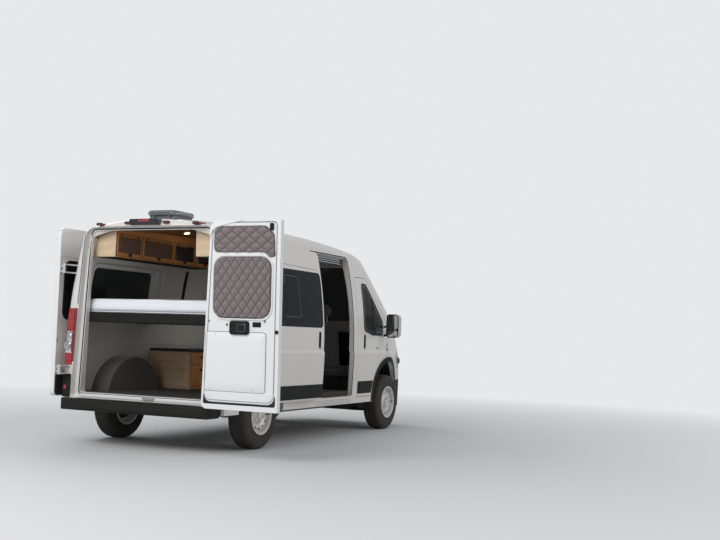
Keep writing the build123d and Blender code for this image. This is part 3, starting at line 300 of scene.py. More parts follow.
PAINT = (
    Finish("silver_paint", (0.735, 0.716, 0.69), 0.32, Metallic=0.15, Coat_Weight=0.6, Coat_Roughness=0.06)
    .soften(0.004).bump(("noise", 900, 2), 0.00005, 0.35)
    .tint((0.42, 0.39, 0.34), ("height", 0.95, 0.3), ("blotches", 5, 6, 0.3, 0.75), 0.35)
    .tint((0.66, 0.655, 0.65), ("noise", 2.2, 2), 0.10).gloss(("noise", 14, 4), 0.22, 0.40).mat
)
# Lighter, bluer copy of the body paint: painted sky light on the rear doors' insides, their frames, the sill
# plate and the pillar flutes
SKY_LIT_PAINT = (
    Finish("sky_lit_body_paint", (0.80, 0.81, 0.83), 0.36, Coat_Weight=0.35, Coat_Roughness=0.12)
    .soften(0.004).bump(("noise", 240, 3), 0.0001, 0.5)
    .tint((0.62, 0.64, 0.68), ("noise", 3, 3), 0.10).gloss(("noise", 16, 4), 0.28, 0.46).mat
)
DOOR_LINER = (
    Finish("white_door_panel", (0.80, 0.815, 0.84), 0.5)
    .bump(("noise", 420, 3), 0.0002, 0.6).tint((0.64, 0.67, 0.71), ("noise", 4, 3), 0.12).mat
)
DARK = (
    Finish("dark_moulding", (0.011, 0.012, 0.0125), 0.62, Specular_IOR_Level=0.17)
    .soften(0.003).bump(("cells", 650), 0.0004, 0.5)
    .tint((0.024, 0.023, 0.02), ("height", 0.9, 0.35), ("noise", 7, 5))
    .gloss(("noise", 30, 3), 0.5, 0.74).mat
)
GLOSS_BLACK = (
    Finish("gloss_black", (0.012, 0.013, 0.015), 0.16, Coat_Weight=0.5)
    .soften(0.003).gloss(("noise", 25, 3), 0.12, 0.3).mat
)
RUBBER = (
    Finish("black_rubber", (0.014, 0.014, 0.016), 0.75)
    .bump(("noise", 300, 3), 0.0003, 0.5).gloss(("noise", 20, 3), 0.6, 0.85).mat
)
TYRE = (
    Finish("tyre_rubber", (0.022, 0.022, 0.022), 0.85)
    .bump(("noise", 260, 4), 0.0006, 0.5).tint((0.075, 0.065, 0.05), ("noise", 9, 5), 0.5).mat
)
CHROME = (
    Finish("polished_metal", (0.66, 0.66, 0.67), 0.14, Metallic=1.0)
    .gloss(("noise", 18, 4), 0.08, 0.24).mat
)
STEEL = (
    Finish("plain_steel", (0.47, 0.48, 0.5), 0.35, Metallic=0.9)
    .bump(("noise", 60, 5, (1, 1, 9)), 0.0003, 0.4).gloss(("noise", 22, 5), 0.26, 0.5).mat
)
RIM = (
    Finish("wheel_silver", (0.66, 0.65, 0.63), 0.38, Metallic=0.25, Coat_Weight=0.25).soften(0.003)
    .tint((0.36, 0.34, 0.3), ("blotches", 12, 6, 0.35, 0.8), 0.5).gloss(("noise", 25, 4), 0.3, 0.5).mat
)
CHASSIS = (
    Finish("chassis_black", (0.028, 0.028, 0.03), 0.65, Metallic=0.2)
    .bump(("noise", 70, 5), 0.0008, 0.6).tint((0.09, 0.065, 0.045), ("blotches", 9, 6, 0.45, 0.7), 0.7).mat
)
CAST = (
    Finish("cast_metal", (0.23, 0.23, 0.235), 0.5, Metallic=0.7)
    .bump(("noise", 90, 5), 0.0008, 0.6).tint((0.13, 0.09, 0.06), ("blotches", 11, 6, 0.4, 0.7), 0.6).mat
)
# Quilt cloth: its last tint is painted shade, darkest in the stitching valleys and round each pad's rim
QUILT = (
    woven("quilt_cloth", (0.205, 0.168, 0.172), 700, 0.72, 0.35)
    .tint((0.15, 0.124, 0.132), ("noise", 40, 5), 0.5).tint((0.038, 0.031, 0.034), ("painted", "stitch")).mat
)
LINING = (
    Finish("cream_lining", (0.62, 0.6, 0.56), 0.7)
    .bump(("noise", 380, 4), 0.0003, 0.6).tint((0.5, 0.46, 0.4), ("noise", 2.5, 4), 0.3).mat
)
FLOOR_MAT = (
    Finish("floor_mat", (0.035, 0.032, 0.03), 0.88)
    .bump(("cells", 260), 0.001, 0.7).tint((0.07, 0.062, 0.052), ("noise", 20, 5), 0.4).mat
)
SMOKED = (
    Finish("smoked_panel", (0.035, 0.026, 0.023), 0.3)
    .tint((0.07, 0.05, 0.042), ("noise", 6, 4), 0.6).gloss(("noise", 10, 3), 0.18, 0.34).mat
)
WORKTOP = (
    Finish("black_worktop", (0.018, 0.018, 0.018), 0.4)
    .bump(("noise", 300, 3), 0.0002, 0.4).gloss(("noise", 18, 4), 0.3, 0.5).mat
)
GLOW = (
    Finish("warm_lamp", (1.0, 0.85, 0.6), 0.4, Emission_Color=(1.0, 0.78, 0.45, 1), Emission_Strength=6.0)
    .tint((1.0, 0.8, 0.5), ("noise", 60, 2)).mat
)
BOWL = Finish("lamp_bowl", (0.55, 0.56, 0.58), 0.2, Metallic=0.85).gloss(("waves", 30, "Z"), 0.12, 0.35).mat
PRIVACY = window_glass("privacy_glass", (0.012, 0.014, 0.014), 0.93)
CLEAR = window_glass("cab_glass", (0.03, 0.035, 0.036), 0.55)
RED = lens("red_lens", (0.36, 0.004, 0.010))
DEEP_RED = lens("dark_red_lens", (0.14, 0.002, 0.006))
WHITE_LENS = lens("clear_lens", (0.62, 0.64, 0.66), 0.85)
AMBER = lens("amber_lens", (0.55, 0.16, 0.01))
HEAD_GLASS = lens("headlamp_glass", (0.14, 0.145, 0.155))
ORANGE_WOOD = timber("orange_wood", (0.64, 0.26, 0.065), (0.74, 0.345, 0.105), (1, 14, 14))
PALE_PLY = timber("pale_ply", (0.58, 0.39, 0.25), (0.66, 0.46, 0.31), (5, 5, 1))
CREAM_PLY = timber("cream_ply", (0.66, 0.5, 0.33), (0.72, 0.57, 0.4), (8, 8, 1))
CEILING_WOOD = timber("ceiling_wood", (0.16, 0.07, 0.03), (0.22, 0.1, 0.045), (1, 9, 9))
SHEET = cloth("white_sheet", (0.83, 0.86, 0.89), (0.72, 0.76, 0.82), 1100, 0.92, 0.2)
SEAT = cloth("seat_cloth", (0.05, 0.05, 0.055), (0.085, 0.085, 0.09), 500, 0.95, 0.4)
CARPET = cloth("wheelhouse_carpet", (0.10, 0.09, 0.08), (0.06, 0.054, 0.05), 600, 0.95, 0.3)
WHITE_PLATE = plain("blank_plate", (0.70, 0.71, 0.72), 0.4)
DARK_GREY = plain("window_sash", (0.10, 0.105, 0.11), 0.35)
FAN_GREY = plain("fan_smoke", (0.16, 0.17, 0.185), 0.3)
FAN_WHITE = plain("fan_white", (0.62, 0.63, 0.64), 0.45)
MIRROR = plain("mirror_glass", (0.55, 0.57, 0.60), 0.03, Metallic=1.0)
BROWN_PANEL = plain("brown_panel", (0.17, 0.10, 0.065), 0.5)
SEAL_GREY = plain("grey_seal", (0.30, 0.31, 0.33), 0.6)
FRIT = plain("window_border", (0.012, 0.013, 0.014), 0.25)
BED_BLACK = plain("bed_frame_black", (0.012, 0.0125, 0.011), 0.7, Specular_IOR_Level=0.2)
BRIGHT = plain("zinc_strap", (0.68, 0.69, 0.70), 0.28, Metallic=0.8)

# Finishes of the CAD nodes, by how their names begin
NODE_FINISHES = {
    PAINT: "side_panel roof_panel rear_frame cab_front sliding_door bonnet cab_door rear_door",
    PRIVACY: "body_glass rear_glass",
    CLEAR: "cab_glass",
    DARK: "front_bumper grille rear_bumper cladding mirror dashboard fuel_tank housings_front",
    GLOSS_BLACK: "steering_wheel",
    CARPET: "housings_rear",
    BED_BLACK: "bed_frame",
    FAN_GREY: "fan_base fan_lid",
    CHASSIS: "underframe front_suspension rear_axle",
    CAST: "knuckle engine_block",
    STEEL: "exhaust slide_track",
    RIM: "rim",
    TYRE: "tyre",
    HEAD_GLASS: "headlamps",
    RED: "rear_lamps",
    LINING: "interior_lining",
    FLOOR_MAT: "floor_pan",
    ORANGE_WOOD: "overhead_cabinets",
    PALE_PLY: "galley_cabinet",
    WORKTOP: "worktop",
    SHEET: "mattress",
    SEAT: "cab_seats",
    QUILT: "rear_pads",
}
for finish, stems in NODE_FINISHES.items():
    for name, node in NODES.items():
        if name.startswith(tuple(stems.split())):
            node.data.materials.clear()
            node.data.materials.append(finish)


# Mesh helpers


def linked(name, data):
    """New object in the scene."""
    thing = bpy.data.objects.new(name, data)
    bpy.context.scene.collection.objects.link(thing)
    return thing


def evaluated(thing):
    """Mesh of an object with its modifiers; the object itself is removed."""
    mesh = bpy.data.meshes.new_from_object(thing.evaluated_get(bpy.context.evaluated_depsgraph_get()))
    bpy.data.objects.remove(thing)
    mesh.materials.clear()
    return mesh


def put(name, mesh, finish, body="van", smooth=40):
    """Object in the scene with its finish, riding on a body."""
    thing = linked(name, mesh)
    mesh.materials.append(finish)
    mesh.shade_smooth()
    mesh.set_sharp_from_angle(angle=math.radians(smooth))
    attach(thing, body)
    return thing


def mesh_of(bm, name):
    bmesh.ops.recalc_face_normals(bm, faces=bm.faces)
    mesh = bpy.data.meshes.new(name)
    bm.to_mesh(mesh)
    bm.free()
    return mesh


def block(low, high):
    """Box between two corners in the van's frame, made about the origin, and the place of its middle."""
    low, high = at(*low), at(*high)
    size = high - low
    bm = bmesh.new()
    bmesh.ops.create_cube(bm, size=1.0)
    for vert in bm.verts:
        vert.co = Vector([a * b for a, b in zip(vert.co, size)])
    return bm, size, Matrix.Translation((low + high) / 2)


def rounded_box(name, low, high, finish, radius, segments=2):
    """Box between two corners in the van's frame with rounded edges."""
    bm, size, matrix = block(low, high)
    offset = min(radius, 0.49 * min(size))
    bmesh.ops.bevel(bm, geom=bm.edges[:], offset=offset, segments=segments, affect="EDGES")
    bmesh.ops.transform(bm, matrix=matrix, verts=bm.verts)
    return put(name, mesh_of(bm, name), finish)


def join_rows(bm, rows, around=False):
    """Faces between closed rows of vertices; around joins the last row to the first as well."""
    for a, b in zip(rows, rows[1:] + rows[:1] if around else rows[1:]):
        for i in range(len(a)):
            j = (i + 1) % len(a)
            bm.faces.new((a[i], a[j], b[j], b[i]))


def spokes(axis, steps):
    """Directions all round an axis."""
    side = axis.orthogonal().normalized()
    other = axis.cross(side)
    turns = [2 * math.pi * i / steps for i in range(steps)]
    return [side * math.cos(angle) + other * math.sin(angle) for angle in turns]


def lathe(bm, profile, centre, axis, steps):
    """Adds a turned shape: profile is (radius, distance along the axis)."""
    axis = axis.normalized()
    around = spokes(axis, steps)
    rings = [[bm.verts.new(centre + axis * along + spoke * radius) for spoke in around]
             for radius, along in profile]
    join_rows(bm, rings)
    bm.faces.new(rings[0])
    bm.faces.new(rings[-1][::-1])


def turned(name, place, axis, finish, profile, steps=20, body="van"):
    bm = bmesh.new()
    lathe(bm, profile, place, axis, steps)
    return put(name, mesh_of(bm, name), finish, body, 35)


def rounded(*points):
    """Closed outline through (a, b, radius) corners, with arcs at the corners."""
    out = []
    for i, (a, b, radius) in enumerate(points):
        corner = Vector((a, b))
        before = (Vector(points[i - 1][:2]) - corner).normalized()
        after = (Vector(points[(i + 1) % len(points)][:2]) - corner).normalized()
        half = before.angle(after) / 2
        reach = radius / math.tan(half)
        middle = corner + (before + after).normalized() * radius / math.sin(half)
        start, end = corner + before * reach - middle, corner + after * reach - middle
        turn = start.angle_signed(end)
        for step in range(ARC_STEPS + 1):
            spin = -turn * step / ARC_STEPS
            x = start.x * math.cos(spin) - start.y * math.sin(spin)
            y = start.x * math.sin(spin) + start.y * math.cos(spin)
            out.append(middle + Vector((x, y)))
    return out


def oblong(a0, b0, a1, b1, radius):
    return rounded((a0, b0, radius), (a1, b0, radius), (a1, b1, radius), (a0, b1, radius))


def grown(outline, by):
    """Outline moved outward by a distance."""
    out = []
    area = sum(outline[i - 1].cross(point) for i, point in enumerate(outline))
    sign = 1 if area > 0 else -1
    for i, point in enumerate(outline):
        along = outline[(i + 1) % len(outline)] - outline[i - 1]
        if along.length < 1e-9:
            out.append(point.copy())
            continue
        normal = Vector((along.y, -along.x)).normalized() * sign
        out.append(point + normal * by)
    return out


def divided(outline, longest=0.06):
    """Outline with extra points on its long sides; without its last points it is an open line."""
    out = []
    for i, point in enumerate(outline):
        nearby = outline[(i + 1) % len(outline)]
        parts = max(1, math.ceil((nearby - point).length / longest))
        for step in range(parts):
            out.append(point.lerp(nearby, step / parts))
    return out


def mirrored(outline, side):
    """Outline of the left side, or its mirror image on the right side."""
    return [Vector((side * point.x, point.y)) for point in outline]


def line(*points):
    return [Vector(point) for point in points]


def spot(axis, level, a, b):
    """Point at a level along one axis, with its two other coordinates."""
    place = [a, b]
    place.insert(axis, level)
    return at(*place)


class Surface:
    """Skin of some CAD nodes that trim is laid on, looked at along one axis."""

    def __init__(self, nodes, axis, sign, start):
        """axis is 0, 1 or 2 for looks along x, y or z; sign is their way, and start is where they start."""
        self.axis, self.sign, self.start = axis, sign, start
        bm = bmesh.new()
        for name in nodes:
            bm.from_mesh(NODES[name].data)
        self.tree = BVHTree.FromBMesh(bm)
        bm.free()

    def hit(self, a, b):
        """Point on the skin, and the way out of it."""
        look = Vector((0, 0, 0))
        look[self.axis] = self.sign
        origin = spot(self.axis, self.start, a, b)
        place, normal, _, _ = self.tree.ray_cast(origin, look)
        if place is None:
            place, _, _, _ = self.tree.find_nearest(origin)
            normal = -look
        if normal.dot(look) > 0:
            normal = -normal
        return place, normal


class Bridged:
    """A skin whose narrow gaps and grooves are bridged: the nearest of three looks counts."""

    def __init__(self, surface, reach):
        self.surface, self.reach = surface, reach

    def hit(self, a, b):
        look = self.surface.sign
        axis = self.surface.axis
        hits = [self.surface.hit(a + step, b) for step in (0, -self.reach, self.reach)]
        nearest = min(hits, key=lambda found: look * found[0][axis])
        place = hits[0][0].copy()
        place[axis] = nearest[0][axis]
        return place, nearest[1]


class Plate:
    """Flat, possibly leaning face: the plane x = level + slope * z, or y = level + slope * z."""

    def __init__(self, axis, level, out, slope=0.0):
        self.axis, self.level, self.out, self.slope = axis, level, Vector(out).normalized(), slope

    def hit(self, a, b):
        return spot(self.axis, self.level + self.slope * b, a, b), self.out

    def raised(self, by):
        """The same face, moved along its axis."""
        return Plate(self.axis, self.level + by, self.out, self.slope)


def verts_on(bm, surface, points, lift):
    """Row of vertices over points of a surface."""
    row = []
    for point in points:
        place, normal = surface.hit(point.x, point.y)
        row.append(bm.verts.new(place + normal * lift))
    return row


def laid(name, outline, surface, finish, lift, edge=0.003, sink=0.004, rings=3, body="van", slot=None):
    """Raised patch that follows a surface inside an outline, with rounded edges."""
    outline = divided(outline)
    middle = sum(outline, Vector((0, 0))) / len(outline)
    inner = grown(outline, -edge)
    layers = [(outline, -sink), (outline, lift - edge * 0.7), (inner, lift)]
    for ring in range(1, rings):
        layers.append(([point.lerp(middle, ring / rings) for point in inner], lift))
    bm = bmesh.new()
    rows = [verts_on(bm, surface, points, up) for points, up in layers]
    join_rows(bm, rows)
    peak = verts_on(bm, surface, [middle], lift)[0]
    last = rows[-1]
    for i in range(len(last)):
        bm.faces.new((last[i], last[(i + 1) % len(last)], peak))
    bm.faces.new(rows[0][::-1])
    return put(name, mesh_of(bm, name), finish, body)


def border(name, outline, surface, finish, width, up=0.0012, longest=0.05, body="van"):
    """Flat border inside an outline: the black printed edge of a window, or a seal."""
    outline = divided(outline, longest)
    inner = grown(outline, -width)
    bm = bmesh.new()
    layers = ((outline, -0.001), (outline, up), (inner, up), (inner, -0.001))
    join_rows(bm, [verts_on(bm, surface, points, lift) for points, lift in layers], around=True)
    return put(name, mesh_of(bm, name), finish, body)


def bead(name, outline, surface, finish, radius, lift=0.0, cyclic=True, longest=0.06, body="van", slot=None):
    """Round bead laid on a surface along an outline, or along an open line."""
    curve = bpy.data.curves.new(name, "CURVE")
    curve.dimensions = "3D"
    curve.bevel_depth = radius
    curve.bevel_resolution = 4
    curve.use_fill_caps = True
    path = divided(outline, longest) if cyclic else outline
    spline = curve.splines.new("POLY")
    spline.points.add(len(path) - 1)
    for made, point in zip(spline.points, path):
        place, normal = surface.hit(point.x, point.y)
        made.co = (*(place + normal * lift), 1)
    spline.use_cyclic_u = cyclic
    mesh = evaluated(linked(name + "_path", curve))
    mesh.name = name
    return put(name, mesh, finish, body, 60)


def stud(name, a, b, surface, finish, profile, steps=20, body="van"):
    """Small turned piece standing on a surface."""
    return turned(name, *surface.hit(a, b), finish, profile, steps, body)


# Camera, lights and floor


def camera():
    yaw, pitch, roll = (math.radians(v) for v in (CAMERA_YAW, CAMERA_PITCH, CAMERA_ROLL))
    ahead = Vector((math.cos(pitch) * math.cos(yaw), math.cos(pitch) * math.sin(yaw), math.sin(pitch)))
    right = Vector((math.sin(yaw), -math.cos(yaw), 0))
    up = right.cross(ahead)
    right_rolled = right * math.cos(roll) + up * math.sin(roll)
    up_rolled = up * math.cos(roll) - right * math.sin(roll)
    data = bpy.data.cameras.new("camera")
    data.sensor_width = SENSOR_WIDTH
    data.lens = SENSOR_WIDTH * FOCAL_PIXELS / PHOTO_WIDTH
    data.clip_end = VIEW_REACH
    made = linked("camera", data)
    turn = Matrix((right_rolled, up_rolled, -ahead)).transposed()
    made.matrix_world = Matrix.Translation(at(*CAMERA_PLACE)) @ turn.to_4x4()
    bpy.context.scene.camera = made


def area_light(name, place, target, size, power, color):
    data = bpy.data.lights.new(name, "AREA")
    data.size = size
    data.energy = power
    data.color = color
    made = linked(name, data)
    place, target = at(*place), at(*target)
    turn = (target - place).to_track_quat("-Z", "Y").to_matrix()
    made.matrix_world = Matrix.Translation(place) @ turn.to_4x4()


def sky():
    """World that lights the van with one grey and shows another to the camera."""
    world = bpy.data.worlds.new("studio")
    bpy.context.scene.world = world
    world.use_nodes = True
    tree = world.node_tree
    path = tree.nodes.new("ShaderNodeLightPath")
    seen = tree.nodes.new("ShaderNodeMath")
    seen.operation = "MAXIMUM"
    tree.links.new(path.outputs["Is Camera Ray"], seen.inputs[0])
    tree.links.new(path.outputs["Is Transmission Ray"], seen.inputs[1])
    colour = tree.nodes.new("ShaderNodeMix")
    colour.data_type = "RGBA"
    colour.inputs[MIX_A].default_value = SKY_LIGHT
    colour.inputs[MIX_B].default_value = BACKGROUND
    tree.links.new(seen.outputs[0], colour.inputs[0])
    tree.links.new(colour.outputs[MIX_RESULT], tree.nodes["Background"].inputs["Color"])


def ground():
    """Pale floor that fades into the background's colour far away."""
    mesh = bpy.data.meshes.new("floor")
    corners = [at(x * FLOOR_REACH, y * FLOOR_REACH, 0) for x, y in ((-1, -1), (1, -1), (1, 1), (-1, 1))]
    mesh.from_pydata(corners, [], [(0, 1, 2, 3)])
    floor = linked("floor", mesh)
    finish = Finish("pale_floor", (0.62, 0.625, 0.63), 0.85)
    finish.tint((0.58, 0.585, 0.59), ("noise", 0.7, 3), 0.1)
    far = finish.node("ShaderNodeVectorMath", Vector=finish.place)
    far.operation = "LENGTH"
    away = finish.ramp(far.outputs["Value"], *FLOOR_FADE)
    seen = finish.times(away, finish.node("ShaderNodeLightPath").outputs["Is Camera Ray"])
    blank = finish.node("ShaderNodeEmission", Color=BACKGROUND)
    mixed = finish.node("ShaderNodeMixShader", Fac=seen)
    finish.fill(mixed.inputs[1], finish.shader.outputs[0])
    finish.fill(mixed.inputs[2], blank.outputs[0])
    finish.fill(finish.tree.nodes["Material Output"].inputs["Surface"], mixed.outputs[0])
    mesh.materials.append(finish.mat)


# Quilted pads on the rear doors


def inside_outline(point, outline):
    """True where a point is inside an outline, and how far it is from the edge."""
    inside = False
    nearest = math.inf
    for i, b in enumerate(outline):
        a = outline[i - 1]
        if (a.y > point.y) != (b.y > point.y):
            if point.x < (b.x - a.x) * (point.y - a.y) / (b.y - a.y) + a.x:
                inside = not inside
        along = b - a
        share = max(0.0, min(1.0, (point - a).dot(along) / max(along.length_squared, 1e-12)))
        nearest = min(nearest, (point - a - along * share).length)
    return inside, nearest


def quilt_height(a, b, width, height):
    """Puff of a diamond quilt between its stitching lines, and how near a line is, which sets the painted
    shade there.
    """
    u, v = a / width + b / height, a / width - b / height
    dome = math.sqrt(abs(math.sin(math.pi * u) * math.sin(math.pi * v)))
    peak = 2 * min(abs(u - round(u)), abs(v - round(v)))
    return 0.45 * dome + 0.55 * peak, max(0.0, 1 - peak / STITCH_SHADE)


def quilted_pad(name, outline, face, diamond, body):
    """Quilted pad inside an outline on a leaning face, with the width and height of its diamonds; a colour
    layer on it holds painted shade along the stitching lines and at the rim.
    """
    a0, a1 = min(p.x for p in outline), max(p.x for p in outline)
    b0, b1 = min(p.y for p in outline), max(p.y for p in outline)
    nx, ny = round((a1 - a0) / QUILT_CELL), round((b1 - b0) / QUILT_CELL)
    bm = bmesh.new()
    # Colour layer that holds the painted shade along the stitching lines and at the rim
    shade_layer = bm.verts.layers.float_color.new("stitch")
    grid = {}
    for i in range(nx + 1):
        for j in range(ny + 1):
            point = Vector((a0 + (a1 - a0) * i / nx, b0 + (b1 - b0) * j / ny))
            within, edge = inside_outline(point, outline)
            if not within and edge > QUILT_CELL * 0.2:
                continue
            fall = min(1.0, (edge if within else 0.0) / QUILT_RIM)
            rim = math.sqrt(max(0.0, 1 - (1 - fall) ** 2))
            puff, painted_shade = quilt_height(point.x - a0, point.y - b0, *diamond)
            rise = 0.003 + PUFF * puff
            wrinkle = 0.0012 * math.sin(190 * point.x + 3 * math.sin(70 * point.y)) * fall
            base, out = face.hit(point.x, point.y)
            top = bm.verts.new(base + out * (rim * (rise + wrinkle) + 0.001))
            low = bm.verts.new(base + out * 0.0002)
            # Painted shade darkens the rim too, where the pad falls to the door
            painted_shade = max(painted_shade, 0.8 - fall)
            top[shade_layer] = (painted_shade, painted_shade, painted_shade, 1)
            grid[i, j] = (top, low)
    for i in range(nx):
        for j in range(ny):
            keys = [(i, j), (i + 1, j), (i + 1, j + 1), (i, j + 1)]
            if all(key in grid for key in keys):
                bm.faces.new([grid[key][0] for key in keys])
                bm.faces.new([grid[key][1] for key in reversed(keys)])
    bmesh.ops.bridge_loops(bm, edges=[edge for edge in bm.edges if len(edge.link_faces) == 1])
    bmesh.ops.delete(bm, geom=[v for v in bm.verts if not v.link_faces], context="VERTS")
    made = put(name, mesh_of(bm, name), QUILT, body, 180)
    return made


def repaint(name, finish, wanted, turn=None, whole=False):
    """Gives a finish to the faces of a CAD node that a test of place and normal picks.

    turn is where the node has been moved from its closed place; whole tests every corner, not the middle.
    """
    mesh = NODES[name].data
    mesh.materials.append(finish)
    back = turn.inverted() if turn else Matrix()
    for face in mesh.polygons:
        spots = [mesh.vertices[i].co for i in face.vertices] if whole else [face.center]
        normal = back.to_3x3() @ face.normal
        if all(wanted(back @ place - Vector((AXLE.x, AXLE.y, 0)), normal) for place in spots):
            face.material_index = len(mesh.materials) - 1


# Rear doors


def swung(side):
    """Turn that takes a closed rear door to where it stands open."""
    pin = at(HINGE_X, side * HINGE_Y, 0)
    angle = math.radians(-270 if side > 0 else 180)
    return Matrix.Translation(pin) @ Matrix.Rotation(angle, 4, "Z") @ Matrix.Translation(-pin)


def rear_door_details(side, tag):
    """Everything laid on one rear door, made on the closed door and then swung open."""
    body = f"rear_door_body_{tag}"
    inner = Plate(0, TAIL_X + WALL, (1, 0, -DOOR_LEAN), DOOR_LEAN)
    over_liner = inner.raised(0.0035)
    outer = Plate(0, TAIL_X, (-1, 0, DOOR_LEAN), DOOR_LEAN)
    made = []

    def trim(kind, part, outline, *given):
        made.append(kind(f"{part}_{tag}", mirrored(outline, side), *given, body=body))

    def fixed(name, *given):
        made.append(stud(name, *given, body=body))

    plug = [(0.013, -0.001), (0.013, 0.0012), (0.010, 0.0016)]
    liner = oblong(0.145, 0.685, 0.835, 1.268, 0.03)
    trim(laid, "door_liner", liner, inner, DOOR_LINER, 0.004, 0.002)
    trim(bead, "liner_gap", liner, inner, RUBBER, 0.0032, 0.001)
    for i, (a, b) in enumerate(SCREWS + PLUGGED_SCREWS):
        plugged = i >= len(SCREWS)
        fixed(f"screw_{tag}_{i}", side * a, b, inner if plugged else over_liner, STEEL, DOME)
        if plugged:
            fixed(f"plug_{tag}_{i}", side * a, b, inner, RUBBER, plug)
    trim(laid, "latch_case", oblong(0.335, 1.245, 0.550, 1.378, 0.028), inner, DARK, 0.030, 0.012)
    trim(laid, "latch_well", oblong(0.362, 1.268, 0.470, 1.352, 0.014), inner, GLOSS_BLACK, 0.0315)
    trim(laid, "latch_grip", oblong(0.378, 1.286, 0.436, 1.336, 0.010), inner, DARK, 0.037, 0.004)
    trim(laid, "door_switch", oblong(0.205, 1.321, 0.299, 1.370, 0.006), inner, DARK, 0.005, 0.002)
    trim(laid, "top_catch", oblong(0.085, 2.262, 0.122, 2.330, 0.008), inner, DARK, 0.022, 0.005)
    trim(laid, "side_catch", oblong(0.012, 1.262, 0.046, 1.295, 0.006), inner, DARK, 0.012, 0.004)
    seal = rounded((0.05, 0.596, 0.07), (0.838, 0.596, 0.07), (0.774, 2.345, 0.06), (0.05, 2.345, 0.04))
    trim(bead, "door_seal", seal, inner, SEAL_GREY, 0.006, -0.001)
    foot = rounded((0.03, 0.556, 0.02), (0.850, 0.556, 0.02), (0.842, 0.66, 0.015), (0.03, 0.66, 0.015))
    trim(laid, "door_foot", foot, inner, RUBBER, 0.0015, 0.001)
    # Bottom panel in the sky-lit copy of the body paint: painted light
    panel = rounded((0.042, 0.578, 0.075), (0.838, 0.578, 0.075), (0.834, 0.69, 0.004), (0.042, 0.69, 0.004))
    trim(laid, "door_bottom", panel, inner, SKY_LIT_PAINT, 0.003, 0.0015)
    edge_face = Plate(1, side * 0.8645, (0, side, 0), -side * 0.0335)
    grommet = [(0.018, -0.003), (0.018, 0.004), (0.013, 0.010), (0.005, 0.010)]
    for z in (1.098, 1.128):
        fixed(f"door_grommet_{tag}_{round(z * 1000)}", -0.885, z, edge_face, RUBBER, grommet)
    # Window frame in the sky-lit copy of the body paint: painted light
    trim(bead, "window_frame", oblong(0.088, 1.393, 0.762, 2.018, 0.118), inner, SKY_LIT_PAINT, 0.0095, 0.002)
    trim(quilted_pad, "quilt_window", oblong(0.100, 1.405, 0.752, 2.005, 0.110), inner, (0.097, 0.129))
    top = rounded((0.060, 2.000, 0.02), (0.125, 2.000, 0.03), (0.185, 2.046, 0.03), (0.762, 2.045, 0.06),
                  (0.762, 2.310, 0.07), (0.170, 2.310, 0.06), (0.072, 2.225, 0.04))
    trim(quilted_pad, "quilt_top", top, inner, (0.138, 0.105))
    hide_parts(f"rear_pads_{tag}")
    skirt = rounded((0.016, 0.515, 0.03), (0.858, 0.515, 0.04), (0.852, 0.735, 0.02), (0.016, 0.735, 0.01))
    trim(laid, "door_skirt", skirt, outer, DARK, 0.007, 0.004)
    trim(laid, "door_reflector", oblong(0.60, 0.555, 0.645, 0.60, 0.006), outer, RED, 0.012, 0.004)
    for i, z in enumerate((2.052, 1.325)):
        crease = mirrored(line((0.03, z), (0.80, z)), side)
        made.append(bead(f"door_crease_{tag}_{i}", crease, outer, PAINT, 0.004, cyclic=False, body=body))
    glass = rounded((0.165, 1.345, 0.09), (0.770, 1.345, 0.09), (0.735, 2.0, 0.09), (0.165, 2.0, 0.09))
    trim(bead, "rear_window_seal", glass, outer, RUBBER, 0.005)
    if side < 0:
        trim(laid, "door_pull", oblong(0.035, 1.06, 0.165, 1.10, 0.015), outer, DARK, 0.028, 0.01)
        lock = [(0.013, -0.001), (0.013, 0.004), (0.010, 0.006), (0.004, 0.006)]
        fixed(f"door_lock_{tag}", side * 0.10, 1.15, outer, STEEL, lock)
    else:
        trim(laid, "plate_blank", oblong(0.15, 0.83, 0.47, 0.995, 0.012), outer, WHITE_PLATE, 0.006, 0.002)
        trim(laid, "plate_hood", oblong(0.13, 1.01, 0.49, 1.045, 0.01), outer, PAINT, 0.03, 0.008)
    turn = swung(side)
    for thing in made:
        thing.data.transform(turn)
        thing.data.update()
    node = f"rear_door_{tag}"
    # Inner faces and edges of the door take the sky-lit copy of the body paint: painted light
    repaint(node, SKY_LIT_PAINT, lambda p, n: n.x > 0.35 or abs(n.y) > 0.8 and p.x > -0.93, turn)
    repaint(node, BRIGHT, lambda p, n: p.x < TAIL_X + DOOR_LEAN * p.z - 0.0035, turn)


# Rear opening


